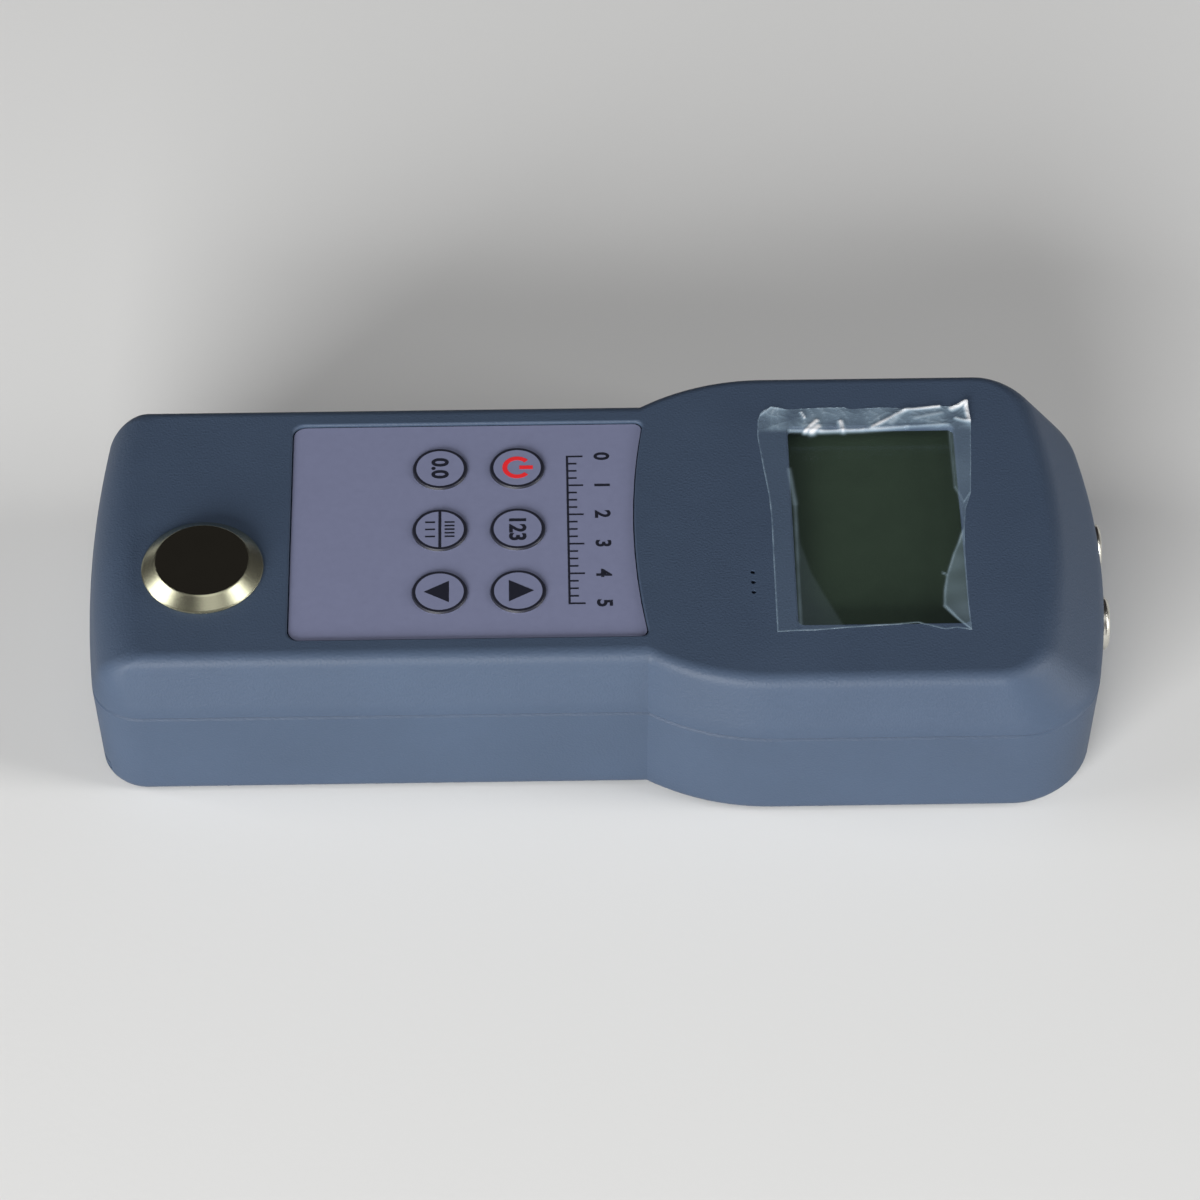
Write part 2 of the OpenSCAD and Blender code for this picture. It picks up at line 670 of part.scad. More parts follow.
module main_board() {
    color([0.1, 0.35, 0.2]) translate([0, 0, board_z]) difference() {
        linear_extrude(board_t) union() {
            translate([board_x0, -board_handle_w / 2]) square([board_x1 - board_x0, board_handle_w]);
            translate([board_step_x, -board_head_w / 2]) square([board_x1 - board_step_x, board_head_w]);
        }
        for (p = board_holds) translate([p.x, p.y, -cut])
            cylinder(d = small_d + 2 * fit, h = board_t + 2 * cut);
    }
}
chip_w = 10;
chip_h = 1.4;
small_chip_l = 5;
small_chip_w = 6.2;
crystal_l = 11;
crystal_w = 4.6;
crystal_h = 3.5;
coil_d = 8;
coil_h = 5.6;
coil_neck_d = 5.4;
coil_flange = 1;
chip_gap = 3;
chip_side = 12;
parts_x = key_x - switch_w / 2 - chip_gap;
module processor_chip() {
    color(black) translate([window_x - chip_w / 2, -chip_w / 2, board_top_z]) cube([chip_w, chip_w, chip_h]);
}
module receiver_chip() {
    color(black) translate([parts_x - small_chip_l, -small_chip_w / 2 - chip_side, board_top_z])
        cube([small_chip_l, small_chip_w, chip_h]);
}
module crystal_can() {
    color(tin) translate([parts_x - crystal_l / 2, 0, board_top_z])
        plate(crystal_l, crystal_w, crystal_w / 2 - snug, crystal_h);
}
module pulse_coil() {
    color([0.25, 0.22, 0.2]) translate([buzzer_x, -buzzer_y, board_top_z]) rotate_extrude()
        polygon([[0, 0], [coil_d / 2, 0], [coil_d / 2, coil_flange], [coil_neck_d / 2, coil_flange],
            [coil_neck_d / 2, coil_h - coil_flange], [coil_d / 2, coil_h - coil_flange],
            [coil_d / 2, coil_h], [0, coil_h]]);
}
module buzzer() {
    color(black) translate([buzzer_x, buzzer_y, board_top_z]) rotate_extrude()
        polygon([[0, 0], [buzzer_d / 2, 0], [buzzer_d / 2, buzzer_h], [buzzer_hole_d / 2, buzzer_h],
            [buzzer_hole_d / 2, buzzer_h - buzzer_hole], [0, buzzer_h - buzzer_hole]]);
}

// a cell with its nub towards the sockets, or turned round
module cell(i) {
    middle = (bay_x0 + bay_x1) / 2;
    start = plate_t + spring_len + snug - bay_len / 2;
    color([0.75, 0.55, 0.2]) translate([middle, cell_y(i), cell_z]) rotate([0, 90 * cell_turn(i), 0])
        rotate_extrude() polygon([[0, start], [cell_r, start], [cell_r, start + cell_len - cell_nub],
            [cell_nub_d / 2, start + cell_len - cell_nub], [cell_nub_d / 2, start + cell_len],
            [0, start + cell_len]]);
}
module cell_1() { cell(0); }
module cell_2() { cell(1); }
module cell_3() { cell(2); }
module cell_4() { cell(3); }
// a coil spring along its axis, made of rings of points round a helix
module spring() {
    n = spring_turns * spring_steps;
    run = spring_len - spring_wire_d - 2 * snug;
    points = [for (k = [0:n]) let (a = 360 * k / spring_steps, z = run * k / n)
        for (s = [0:spring_sides - 1]) let (b = 360 * s / spring_sides,
            r = spring_r + cos(b) * spring_wire_d / 2)
            [r * cos(a), r * sin(a), z + sin(b) * spring_wire_d / 2]];
    faces = concat(
        [for (k = [0:n - 1]) for (s = [0:spring_sides - 1]) let (t = (s + 1) % spring_sides,
            p = k * spring_sides, q = p + spring_sides) each [[p + s, q + s, q + t], [p + s, q + t, p + t]]],
        [[for (s = [0:spring_sides - 1]) s]],
        [[for (s = [spring_sides - 1:-1:0]) n * spring_sides + s]]);
    polyhedron(points, faces);
}
module cell_springs() {
    middle = (bay_x0 + bay_x1) / 2;
    z0 = plate_t + spring_wire_d / 2 + snug - bay_len / 2;
    color(tin) for (i = [0:3]) translate([middle, cell_y(i), cell_z]) rotate([0, 90 * cell_turn(i), 0])
        translate([0, 0, z0]) spring();
}
module cell_plates() {
    // each row: first cell, last cell, whether at the socket end, and the top of the plate
    rows = [[0, 1, 0, cell_z + plate_w / 2], [2, 3, 0, cell_z + plate_w / 2],
        [0, 0, 1, tab_z], [1, 2, 1, cell_z + plate_w / 2], [3, 3, 1, tab_z]];
    color(tin) for (r = rows) {
        x = r[2] == 0 ? bay_x0 + snug / 2 : bay_x1 - plate_t - snug / 2;
        y = cell_y(r[0]) - plate_w / 2;
        translate([x, y, cell_z - plate_w / 2])
            cube([plate_t, cell_y(r[1]) - cell_y(r[0]) + plate_w, plate_w]);
        if (r[3] == tab_z) translate([x, cell_y(r[0]) - tab_w / 2, cell_z])
            cube([plate_t, tab_w, tab_z - cell_z]);
    }
}

lead_bend = board_z - socket_z;
module probe_leads() {
    color([0.15, 0.15, 0.16]) sockets() union() {
        lying(pin_x0 - lead_d, pin_x0, lead_d);
        translate([pin_x0 - lead_d, 0, lead_bend]) rotate([90, 0, 0])
            rotate_extrude(angle = -90, start = 270) translate([lead_bend, 0]) circle(d = lead_d);
    }
}
module battery_leads() {
    color([0.7, 0.1, 0.1]) for (i = [0, 3])
        translate([bay_x1 - plate_t / 2 - snug / 2, cell_y(i), tab_z]) cylinder(d = lead_d, h = board_z - tab_z);
}

module case_screws() {
    tip = joint_z + screw_bite + screw_point - screw_seat_z + screw_head_t;
    color(tin) for (p = rear_screws) translate([p.x, p.y, screw_seat_z - screw_head_t]) rotate_extrude()
        polygon([[0, 0], [screw_head_d / 2, 0], [screw_head_d / 2, screw_head_t],
            [screw_d / 2, screw_head_t], [screw_d / 2, tip - screw_point], [0, tip]]);
}
module board_screws() {
    color(tin) for (p = board_holds) translate([p.x, p.y, board_z - small_head_t]) rotate_extrude()
        polygon([[0, 0], [small_head_d / 2, 0], [small_head_d / 2, small_head_t],
            [small_d / 2, small_head_t], [small_d / 2, small_head_t + board_t + small_bite],
            [0, small_head_t + board_t + small_bite]]);
}

front_case();
rear_case();
battery_cover();
keypad_overlay();
key_power();
key_code();
key_up();
key_zero();
key_units();
key_down();
plunger_power();
plunger_code();
plunger_up();
plunger_zero();
plunger_units();
plunger_down();
switch_housings();
display_window();
window_film();
lcd_panel();
lcd_frame();
contact_strips();
calibration_disc();
socket_transmit();
socket_receive();
socket_insulators();
socket_contacts();
socket_nuts();
main_board();
processor_chip();
receiver_chip();
crystal_can();
pulse_coil();
buzzer();
cell_1();
cell_2();
cell_3();
cell_4();
cell_springs();
cell_plates();
probe_leads();
battery_leads();
case_screws();
board_screws();
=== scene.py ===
import math

import bmesh
import bpy
import numpy as np
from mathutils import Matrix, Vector


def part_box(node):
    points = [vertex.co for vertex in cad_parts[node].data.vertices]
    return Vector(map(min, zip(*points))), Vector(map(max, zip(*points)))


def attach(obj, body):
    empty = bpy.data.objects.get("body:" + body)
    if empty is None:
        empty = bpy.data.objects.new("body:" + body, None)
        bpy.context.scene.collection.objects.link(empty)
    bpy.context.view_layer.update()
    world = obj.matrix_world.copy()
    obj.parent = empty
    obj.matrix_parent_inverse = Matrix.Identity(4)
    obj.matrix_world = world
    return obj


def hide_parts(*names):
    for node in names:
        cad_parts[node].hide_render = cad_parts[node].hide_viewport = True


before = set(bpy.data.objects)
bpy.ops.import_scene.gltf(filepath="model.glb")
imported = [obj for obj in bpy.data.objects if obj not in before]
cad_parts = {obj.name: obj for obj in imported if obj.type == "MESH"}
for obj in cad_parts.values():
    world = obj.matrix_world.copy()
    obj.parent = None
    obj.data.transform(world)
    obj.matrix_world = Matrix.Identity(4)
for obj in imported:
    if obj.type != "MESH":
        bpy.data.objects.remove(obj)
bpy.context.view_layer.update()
mm = 0.001  # every size below is in millimetres, and meshes are scaled by this
scene = bpy.context.scene
scene.view_settings.view_transform = "Standard"


def nodeBox(node):  # lowest and highest corner of a node of the frame, in millimetres
    low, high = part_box(node)
    return np.array(low) / mm, np.array(high) / mm


def nodeMiddle(node):
    return np.mean(nodeBox(node), axis=0)


# camera, where the photograph was taken from, aimed at the middle of the gauge
cameraView = {
    "place": (-8.9, -525.3, 611.7),
    "aim": (0.5, -0.4, 13.0),
    "lens": 150.0,
    "sensor": 36.0,
    "nearest": 10.0,
}


def addCamera(view):
    data = bpy.data.cameras.new("photoCamera")
    data.lens = view["lens"]
    data.sensor_width = view["sensor"]
    data.clip_start = view["nearest"] * mm
    camera = bpy.data.objects.new("photoCamera", data)
    camera.location = Vector(view["place"]) * mm
    sight = Vector(view["aim"]) - Vector(view["place"])
    camera.rotation_euler = sight.to_track_quat("-Z", "Y").to_euler()
    scene.collection.objects.link(camera)
    scene.camera = camera


addCamera(cameraView)
print("camera set")

# soft studio light: a wide low softbox in front, weaker ones on both sides and above, a dim room
studio = {
    "softboxes": {  # place and size in metres, power in watts
        "front": ((-0.72, -1.78, 0.58), (1.5, 0.7), 76.0),
        "left": ((-1.45, -0.05, 1.00), (0.8, 0.8), 8.0),
        "above": ((0.20, -0.75, 1.95), (1.0, 1.0), 3.0),
        "right": ((1.60, -0.35, 0.46), (0.5, 0.6), 18.0),
        "rightHigh": ((1.10, -0.25, 1.15), (0.5, 0.5), 3.2),
    },
    "roomColour": (0.022, 0.020, 0.022),
    "floorSize": 6.0,
    "floorColour": (0.70, 0.70, 0.69),
}


def addSoftbox(name, place, size, power):
    data = bpy.data.lights.new(name, "AREA")
    data.shape = "RECTANGLE"
    data.size, data.size_y = size
    data.energy = power
    lamp = bpy.data.objects.new(name, data)
    lamp.location = place
    lamp.rotation_euler = (-Vector(place)).to_track_quat("-Z", "Y").to_euler()
    scene.collection.objects.link(lamp)


for name, setting in studio["softboxes"].items():
    addSoftbox(name + "Softbox", *setting)
room = bpy.data.worlds.new("room")
room.use_nodes = True
room.node_tree.nodes["Background"].inputs["Color"].default_value = (*studio["roomColour"], 1)
scene.world = room
print("lights set")


# materials: each finish is worked out from Object coordinates or an attribute of its piece
driftDetail, grainDetail = 3.0, 2.0  # octaves of a slow noise and of a fine one


def newFinish(name):
    material = bpy.data.materials.new(name)
    material.use_nodes = True
    nodes = material.node_tree.nodes
    return material, nodes, material.node_tree.links, nodes["Principled BSDF"]


def noiseNode(nodes, links, vector, scale, detail):
    noise = nodes.new("ShaderNodeTexNoise")
    noise.inputs["Scale"].default_value = scale
    noise.inputs["Detail"].default_value = detail
    links.new(vector, noise.inputs["Vector"])
    return noise.outputs["Fac"]


def rangeNode(nodes, links, value, low, high, fromLow=0.0, fromHigh=1.0):
    spread = nodes.new("ShaderNodeMapRange")
    for socket, number in zip(("From Min", "From Max", "To Min", "To Max"), (fromLow, fromHigh, low, high)):
        spread.inputs[socket].default_value = number
    links.new(value, spread.inputs["Value"])
    return spread.outputs["Result"]


def mixNode(nodes, links, factor, first, second):
    mix = nodes.new("ShaderNodeMix")
    mix.data_type = "RGBA"
    links.new(factor, mix.inputs["Factor"])
    for socket, colour in ((mix.inputs[6], first), (mix.inputs[7], second)):  # its two colour inputs
        if isinstance(colour, tuple):
            socket.default_value = (*colour, 1)
        else:
            links.new(colour, socket)
    return mix.outputs[2]  # its colour output


def bumpNode(nodes, links, height, depth):
    bump = nodes.new("ShaderNodeBump")
    bump.inputs["Distance"].default_value = depth * mm
    links.new(height, bump.inputs["Height"])
    return bump.outputs["Normal"]


def attributeNode(nodes, name):
    node = nodes.new("ShaderNodeAttribute")
    node.attribute_name = name
    return node.outputs["Fac"]


def objectVector(nodes):
    return nodes.new("ShaderNodeTexCoord").outputs["Object"]


def grainedFinish(name, look, ink=None):
    # colour drifts between two shades with a slow noise, gloss drifts with it, and a fine noise is the grain;
    # ink, where it is given, covers the colour wherever the piece's ink attribute is 1
    material, nodes, links, shader = newFinish(name)
    place = objectVector(nodes)
    drift = noiseNode(nodes, links, place, look["driftScale"], driftDetail)
    grain = noiseNode(nodes, links, place, look["grainScale"], grainDetail)
    colour = mixNode(nodes, links, drift, look["dark"], look["light"])
    if ink:
        colour = mixNode(nodes, links, attributeNode(nodes, "ink"), colour, ink)
    links.new(colour, shader.inputs["Base Color"])
    links.new(rangeNode(nodes, links, drift, *look["roughness"]), shader.inputs["Roughness"])
    links.new(bumpNode(nodes, links, grain, look["grainDepth"]), shader.inputs["Normal"])
    shader.inputs["Metallic"].default_value = look.get("metal", 0.0)
    shader.inputs["Specular IOR Level"].default_value = look.get("specular", 0.5)
    return material


def shade(colour, share):  # a pair of shades round a colour
    return {"dark": tuple(c * (1 - share) for c in colour), "light": tuple(c * (1 + share) for c in colour)}


def plainLook(colour, roughness, grain=2400.0, depth=0.01, metal=0.0, share=0.08):
    return {**shade(colour, share), "driftScale": 240.0, "grainScale": grain, "grainDepth": depth,
            "roughness": roughness, "metal": metal}


caseLook = {
    **shade((0.041, 0.062, 0.101), 0.10), "driftScale": 60.0, "grainScale": 2800.0, "grainDepth": 0.075,
    "roughness": (0.50, 0.60), "specular": 0.32,
}
overlayLook = {
    **shade((0.168, 0.182, 0.282), 0.06), "driftScale": 900.0, "grainScale": 5200.0, "grainDepth": 0.006,
    "roughness": (0.42, 0.54),
}
inkLook = {"driftScale": 2500.0, "grainScale": 5200.0, "grainDepth": 0.004, "roughness": (0.40, 0.52)}
inkColour = (0.010, 0.011, 0.020)
signRed = (0.72, 0.022, 0.028)
inkShare = 0.08
casePlastic = grainedFinish("casePlastic", caseLook)
overlayFilm = grainedFinish("overlayFilm", overlayLook)
keyFilm = grainedFinish("keyFilm", overlayLook, inkColour)
darkInk = grainedFinish("darkInk", {**shade(inkColour, inkShare), **inkLook})
redInk = grainedFinish("redInk", {**shade(signRed, inkShare), **inkLook})


def turnedFinish(name, look):
    # steel with fine circular tool marks round a centre; the turned attribute tells cone from lapped top
    material, nodes, links, shader = newFinish(name)
    mapping = nodes.new("ShaderNodeMapping")
    mapping.inputs["Location"].default_value = tuple(-c * mm for c in look["centre"])
    links.new(objectVector(nodes), mapping.inputs["Vector"])
    rings = nodes.new("ShaderNodeTexWave")
    rings.wave_type = "RINGS"
    rings.rings_direction = "Z"
    rings.inputs["Scale"].default_value = look["ringScale"]
    rings.inputs["Distortion"].default_value = look["ringWobble"]
    rings.inputs["Detail"].default_value = grainDetail
    links.new(mapping.outputs["Vector"], rings.inputs["Vector"])
    drift = noiseNode(nodes, links, mapping.outputs["Vector"], look["driftScale"], driftDetail)
    links.new(mixNode(nodes, links, drift, look["dark"], look["light"]), shader.inputs["Base Color"])
    turned = attributeNode(nodes, "turned")
    links.new(rangeNode(nodes, links, turned, *look["roughness"]), shader.inputs["Roughness"])
    links.new(bumpNode(nodes, links, rings.outputs["Fac"], look["ringDepth"]), shader.inputs["Normal"])
    shader.inputs["Metallic"].default_value = 1.0
    shader.inputs["Anisotropic"].default_value = look["anisotropic"]
    tangent = nodes.new("ShaderNodeTangent")
    tangent.direction_type = "RADIAL"
    tangent.axis = "Z"
    links.new(tangent.outputs["Tangent"], shader.inputs["Tangent"])
    return material


def clearFinish(name, look):
    # clear plastic; where it has haze, an attribute of the piece says how far it hides what lies below, and
    # the colour goes to white as it grows; on the film that attribute carries milkiness together with painted
    # glints, painted highlights and a painted reflection
    material, nodes, links, shader = newFinish(name)
    drift = noiseNode(nodes, links, objectVector(nodes), look["driftScale"], grainDetail)
    links.new(rangeNode(nodes, links, drift, *look["roughness"]), shader.inputs["Roughness"])
    links.new(bumpNode(nodes, links, drift, look["waveDepth"]), shader.inputs["Normal"])
    shader.inputs["IOR"].default_value = look["ior"]
    if "haze" in look:
        haze = attributeNode(nodes, "haze")
        links.new(haze, shader.inputs["Alpha"])
        whiteness = rangeNode(nodes, links, haze, 0, 1, *look["haze"])
        colour = mixNode(nodes, links, whiteness, look["colour"], look["white"])
        links.new(colour, shader.inputs["Base Color"])
    else:
        shader.inputs["Base Color"].default_value = (*look["colour"], 1)
        shader.inputs["Alpha"].default_value = look["alpha"]
    return material


# mesh building: grids of points in millimetres, put into meshes as whole arrays
past, sunk = 1.0, 0.1  # how far a cut runs past a face, and a joined block into its neighbour
rodTurns = 48


def gridQuads(rows, cols, wrapRows=False, wrapCols=True):  # four corners of every cell of a grid
    row = np.arange(rows if wrapRows else rows - 1)[:, None]
    col = np.arange(cols if wrapCols else cols - 1)[None, :]
    nextRow, nextCol = (row + 1) % rows, (col + 1) % cols
    corners = [row * cols + col, row * cols + nextCol, nextRow * cols + nextCol, nextRow * cols + col]
    return np.stack(corners, axis=-1).reshape(-1, 4)


def meshFrom(name, points, faces, closed=True):
    mesh = bpy.data.meshes.new(name)
    mesh.from_pydata((np.asarray(points).reshape(-1, 3) * mm).tolist(), [], faces)
    if closed:  # faces of a closed piece are turned outwards
        work = bmesh.new()
        work.from_mesh(mesh)
        bmesh.ops.recalc_face_normals(work, faces=work.faces)
        work.to_mesh(mesh)
        work.free()
    mesh.update()
    return mesh


def loftMesh(name, grid):  # rings of points one above the other, closed by a face at each end
    rows, cols = grid.shape[:2]
    ends = [list(range(cols)), list(range((rows - 1) * cols, rows * cols))]
    return meshFrom(name, grid, gridQuads(rows, cols).tolist() + ends)


def tubeMesh(name, grid):  # rings of points whose last row joins the first, a closed band
    return meshFrom(name, grid, gridQuads(*grid.shape[:2], wrapRows=True).tolist())


def latheGrid(profile, centre, turns, axis="z"):
    # a profile of (radius, height) rows carried round an axis through the centre
    radius, height = np.asarray(profile, float).T
    angle = np.linspace(0, 2 * math.pi, turns, endpoint=False)
    across = radius[:, None] * np.cos(angle)
    over = radius[:, None] * np.sin(angle)
    along = np.broadcast_to(height[:, None], across.shape)
    order = (across, over, along) if axis == "z" else (along, across, over)
    return np.stack(order, axis=-1) + np.asarray(centre, float)


def latheMesh(name, profile, centre, turns=96, axis="z"):
    return loftMesh(name, latheGrid(profile, centre, turns, axis))


def softProfile(points, reach, closed=False, count=4, most=0.45):
    # a broken line whose corners are rounded: each becomes a short curve from reach before to reach after it,
    # or less, so that it takes no more than a given share of a side
    points = np.asarray(points, float)
    before, after = np.roll(points, 1, axis=0) - points, np.roll(points, -1, axis=0) - points
    runs = [way * np.minimum(reach / np.linalg.norm(way, axis=1), most)[:, None] for way in (before, after)]
    t = np.linspace(0, 1, count)[None, :, None]
    curves = points[:, None] + (1 - t) ** 2 * runs[0][:, None] + t ** 2 * runs[1][:, None]
    rows = curves.reshape(-1, 2)
    return rows if closed else np.vstack([points[:1], rows[count:-count], points[-1:]])


def ease(value):  # 0 below 0, 1 above 1, an even S between
    t = np.clip(value, 0, 1)
    return t * t * (3 - 2 * t)


def boxMesh(low, high):  # a plain block between two corners, for carving
    x, y, z = np.array([low, high], float).T
    ring = np.array([[x[0], y[0]], [x[1], y[0]], [x[1], y[1]], [x[0], y[1]]])
    grid = np.stack([np.column_stack([ring, np.full(4, level)]) for level in z])
    return loftMesh("block", grid)


def rodMesh(centre, diameter, start, end, axis="z", turns=rodTurns):  # a plain rod, for carving
    return latheMesh("rod", [(diameter / 2, start), (diameter / 2, end)], centre, turns, axis)


def rods(spots, *sizes):  # upright rods of one size, one on each spot
    return [rodMesh((*spot, 0), *sizes) for spot in spots]


def prismMesh(outline, rows):  # an outline that grows and rises row by row; rows are (height, growth)
    grid = np.stack([np.column_stack([outline(grow), np.full(len(outline(grow)), z)]) for z, grow in rows])
    return loftMesh("prism", grid)


def roundedCut(floor, face, lip, turned=1.4, count=6):
    # rows of a cut whose upper edge is rounded off by lip, along a circle turned through an angle in radians
    turn = np.linspace(0, turned, count)
    rows = [(floor, 0.0)]
    rows += zip(face - lip * (1 - np.sin(turn)), lip * (1 - np.cos(turn)))
    return rows + [(face + 2 * past, lip)]


def arc(cx, cy, radius, start, end, count):  # points round part of a circle, angles in degrees
    angle = np.radians(np.linspace(start, end, count))
    return np.column_stack([cx + radius * np.cos(angle), cy + radius * np.sin(angle)])


def roundedPlate(middle, length, width, radius, count=9):
    # outline of a rectangle with round corners, as a function of how far it grows
    def outline(grow):
        a, b, r = length / 2 + grow, width / 2 + grow, radius + max(grow, 0)
        ring = np.vstack([
            arc(a - r, b - r, r, 0, 90, count), arc(r - a, b - r, r, 90, 180, count),
            arc(r - a, r - b, r, 180, 270, count), arc(a - r, r - b, r, 270, 360, count),
        ])
        return ring + np.asarray(middle, float)
    return outline


def join(tools):  # carving steps that add each tool
    return [("UNION", tool) for tool in tools]


def cut(tools):  # carving steps that take each tool away
    return [("DIFFERENCE", tool) for tool in tools]


def carve(mesh, steps):
    # runs (operation, tool mesh) steps on a solid and gives the carved mesh
    name = mesh.name
    solid = bpy.data.objects.new("solid", mesh)
    scene.collection.objects.link(solid)
    used = [solid]
    for operation, toolMesh in steps:
        tool = bpy.data.objects.new("tool", toolMesh)
        scene.collection.objects.link(tool)
        used.append(tool)
        step = solid.modifiers.new(operation, "BOOLEAN")
        step.operation = operation
        step.object = tool
        step.solver = "MANIFOLD"
    graph = bpy.context.evaluated_depsgraph_get()
    carved = bpy.data.meshes.new_from_object(solid.evaluated_get(graph))
    spent = [item.data for item in used]
    for item in used:
        bpy.data.objects.remove(item)
    for item in spent:
        bpy.data.meshes.remove(item)
    carved.name = name
    return carved


def addPiece(name, mesh, finish, body, replaced=(), sharp=30.0, even=False):
    mesh.materials.clear()
    mesh.materials.append(finish)
    mesh.polygons.foreach_set("use_smooth", np.ones(len(mesh.polygons), bool))
    mesh.set_sharp_from_angle(angle=math.radians(sharp))
    piece = bpy.data.objects.new(name, mesh)
    scene.collection.objects.link(piece)
    if even:  # large flat faces keep their own normal beside small rounded ones
        weighted = piece.modifiers.new("even", "WEIGHTED_NORMAL")
        weighted.keep_sharp = True
    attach(piece, body)
    if replaced:
        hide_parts(*replaced)
    return piece


def setAttribute(mesh, name, values):
    made = mesh.attributes.new(name, "FLOAT", "POINT")
    made.data.foreach_set("value", np.asarray(values, np.float32))


# case: two moulded shells that meet at a fine joint line
frontLow, frontHigh = nodeBox("front_case")
overlayLow, overlayHigh = nodeBox("keypad_overlay")
lensLow, lensHigh = nodeBox("display_window")
discLow, discHigh = nodeBox("calibration_disc")
coverLow, coverHigh = nodeBox("battery_cover")
platesLow, platesHigh = nodeBox("cell_plates")
socketFront = nodeBox("socket_transmit")[1][0]
boardTop = nodeBox("main_board")[1][2]
lensMiddle = nodeMiddle("display_window")[:2]
discSpot = nodeMiddle("calibration_disc")[:2]
keyNames = ("power", "code", "up", "zero", "units", "down")
keySpots = {name: nodeMiddle("key_" + name)[:2] for name in keyNames}
tailX, noseX = frontLow[0], frontHigh[0]
headWidth = frontHigh[1] - frontLow[1]
jointZ, faceZ = frontLow[2], frontHigh[2]

caseForm = {
    "handleWidth": 57.5, "sideLean": 2.4, "tailLean": 2.0, "noseLean": 8.0, "tailBow": 2.0, "noseBow": 4.5,
    "faceEdge": 1.9, "tailEdge": 5.6, "backEdge": 2.5, "backLean": 0.8, "shoulder": 3.0,
    "tailCorner": 7.0, "tailTopCorner": 1.5, "noseCorner": 11.0, "noseTopCorner": 6.5, "leastCorner": 1.0,
    "flareStart": 87.4, "flareLength": 19.6, "wall": 2.2, "faceThickness": 2.6, "jointGroove": 0.28,
    "endPoints": 14, "cornerPoints": 18, "flarePoints": 22, "edgeRows": 11, "shoulderRows": 8, "turnRows": 7,
}
ceilingZ = faceZ - caseForm["faceThickness"]
leanZ = jointZ + caseForm["shoulder"] / 2
shoulderZ = jointZ + caseForm["shoulder"]


def outlineRings(side, tail, nose, tailCorner, noseCorner):
    # the case seen from above, one ring for each level: a bowed tail end, a corner, the straight handle,
    # a flare that is an arc ending level with the head, a corner and a bowed nose end, then mirrored
    form = caseForm
    sizes = (side, tail, nose, tailCorner, noseCorner)
    side, tail, nose, r0, r1 = (np.asarray(v, float).reshape(-1, 1) for v in sizes)
    r0, r1 = np.maximum(r0, form["leastCorner"]), np.maximum(r1, form["leastCorner"])
    y0, y1 = form["handleWidth"] / 2 - side, headWidth / 2 - side
    x0, x1 = tailX + tail + form["tailBow"], noseX - nose - form["noseBow"]
    rise = y1 - y0
    flareRadius = (form["flareLength"] ** 2 + rise ** 2) / (2 * rise)
    flareTurn = np.arcsin(form["flareLength"] / flareRadius)
    share = np.linspace(0, 1, form["endPoints"], endpoint=False)[None, :]
    turn = np.linspace(0, math.pi / 2, form["cornerPoints"])[None, :]
    fade = np.linspace(1, 0, form["flarePoints"])[None, :]
    tailXs = np.hstack([x0 + 0 * share, x0 + r0 * (1 - np.cos(turn))])
    tailYs = np.hstack([(y0 - r0) * share, y0 - r0 * (1 - np.sin(turn))])
    flareXs = tailX + form["flareStart"] + form["flareLength"] - flareRadius * np.sin(flareTurn * fade)
    flareYs = y1 - flareRadius * (1 - np.cos(flareTurn * fade))
    noseXs = np.hstack([x1 - r1 * (1 - np.sin(turn)), x1 + 0 * share])
    noseYs = np.hstack([y1 - r1 * (1 - np.cos(turn)), (y1 - r1) * (1 - share - share[:, 1:2])])
    tailXs = tailXs - form["tailBow"] * (1 - (tailYs / y0) ** 2)
    noseXs = noseXs + form["noseBow"] * (1 - (noseYs / y1) ** 2)
    xs, ys = np.hstack([tailXs, flareXs, noseXs]), np.hstack([tailYs, flareYs, noseYs])
    return np.stack([np.hstack([xs, xs[:, -2:0:-1]]), np.hstack([ys, -ys[:, -2:0:-1]])], axis=-1)


def bend(start, middle, end, t):  # a curve from start to end that leans towards middle
    return (1 - t) ** 2 * start + 2 * t * (1 - t) * middle + t ** 2 * end


def lean(z):  # share of the flanks' lean, 0 at the joint and 1 at the face
    return (z - leanZ) / (faceZ - leanZ)


def ringsAt(rings, z):  # flat rings, each lifted to its height
    heights = np.broadcast_to(np.reshape(z, (-1, 1, 1)), rings.shape[:2] + (1,))
    return np.concatenate([rings, heights], axis=-1)


def tailRound(z):  # rounding between the tail end and the face, a quarter circle, as an inset
    radius = caseForm["tailEdge"]
    return radius - np.sqrt(radius ** 2 - np.clip(z - faceZ + radius, 0, radius) ** 2)


def frontGrid(z, share, inset, edge=0.0):
    # levels of the front shell: height, share of the lean, even inset and rounding of the face's edge
    form = caseForm
    z, share, inset = (np.asarray(v, float) for v in (z, share, inset))
    return ringsAt(outlineRings(
        share * form["sideLean"] + inset + edge, share * form["tailLean"] + inset + tailRound(z),
        share * form["noseLean"] + inset + edge,
        form["tailCorner"] + share * (form["tailTopCorner"] - form["tailCorner"]) - inset,
        form["noseCorner"] + share * (form["noseTopCorner"] - form["noseCorner"]) - inset - edge), z)


def rearGrid(z, inset):  # levels of the rear shell: height and even inset
    form = caseForm
    z, inset = np.asarray(z, float), np.asarray(inset, float)
    pull = form["backLean"] * (jointZ - z) / jointZ + inset
    return ringsAt(outlineRings(pull, pull, pull, form["tailCorner"] - pull, form["noseCorner"] - pull), z)


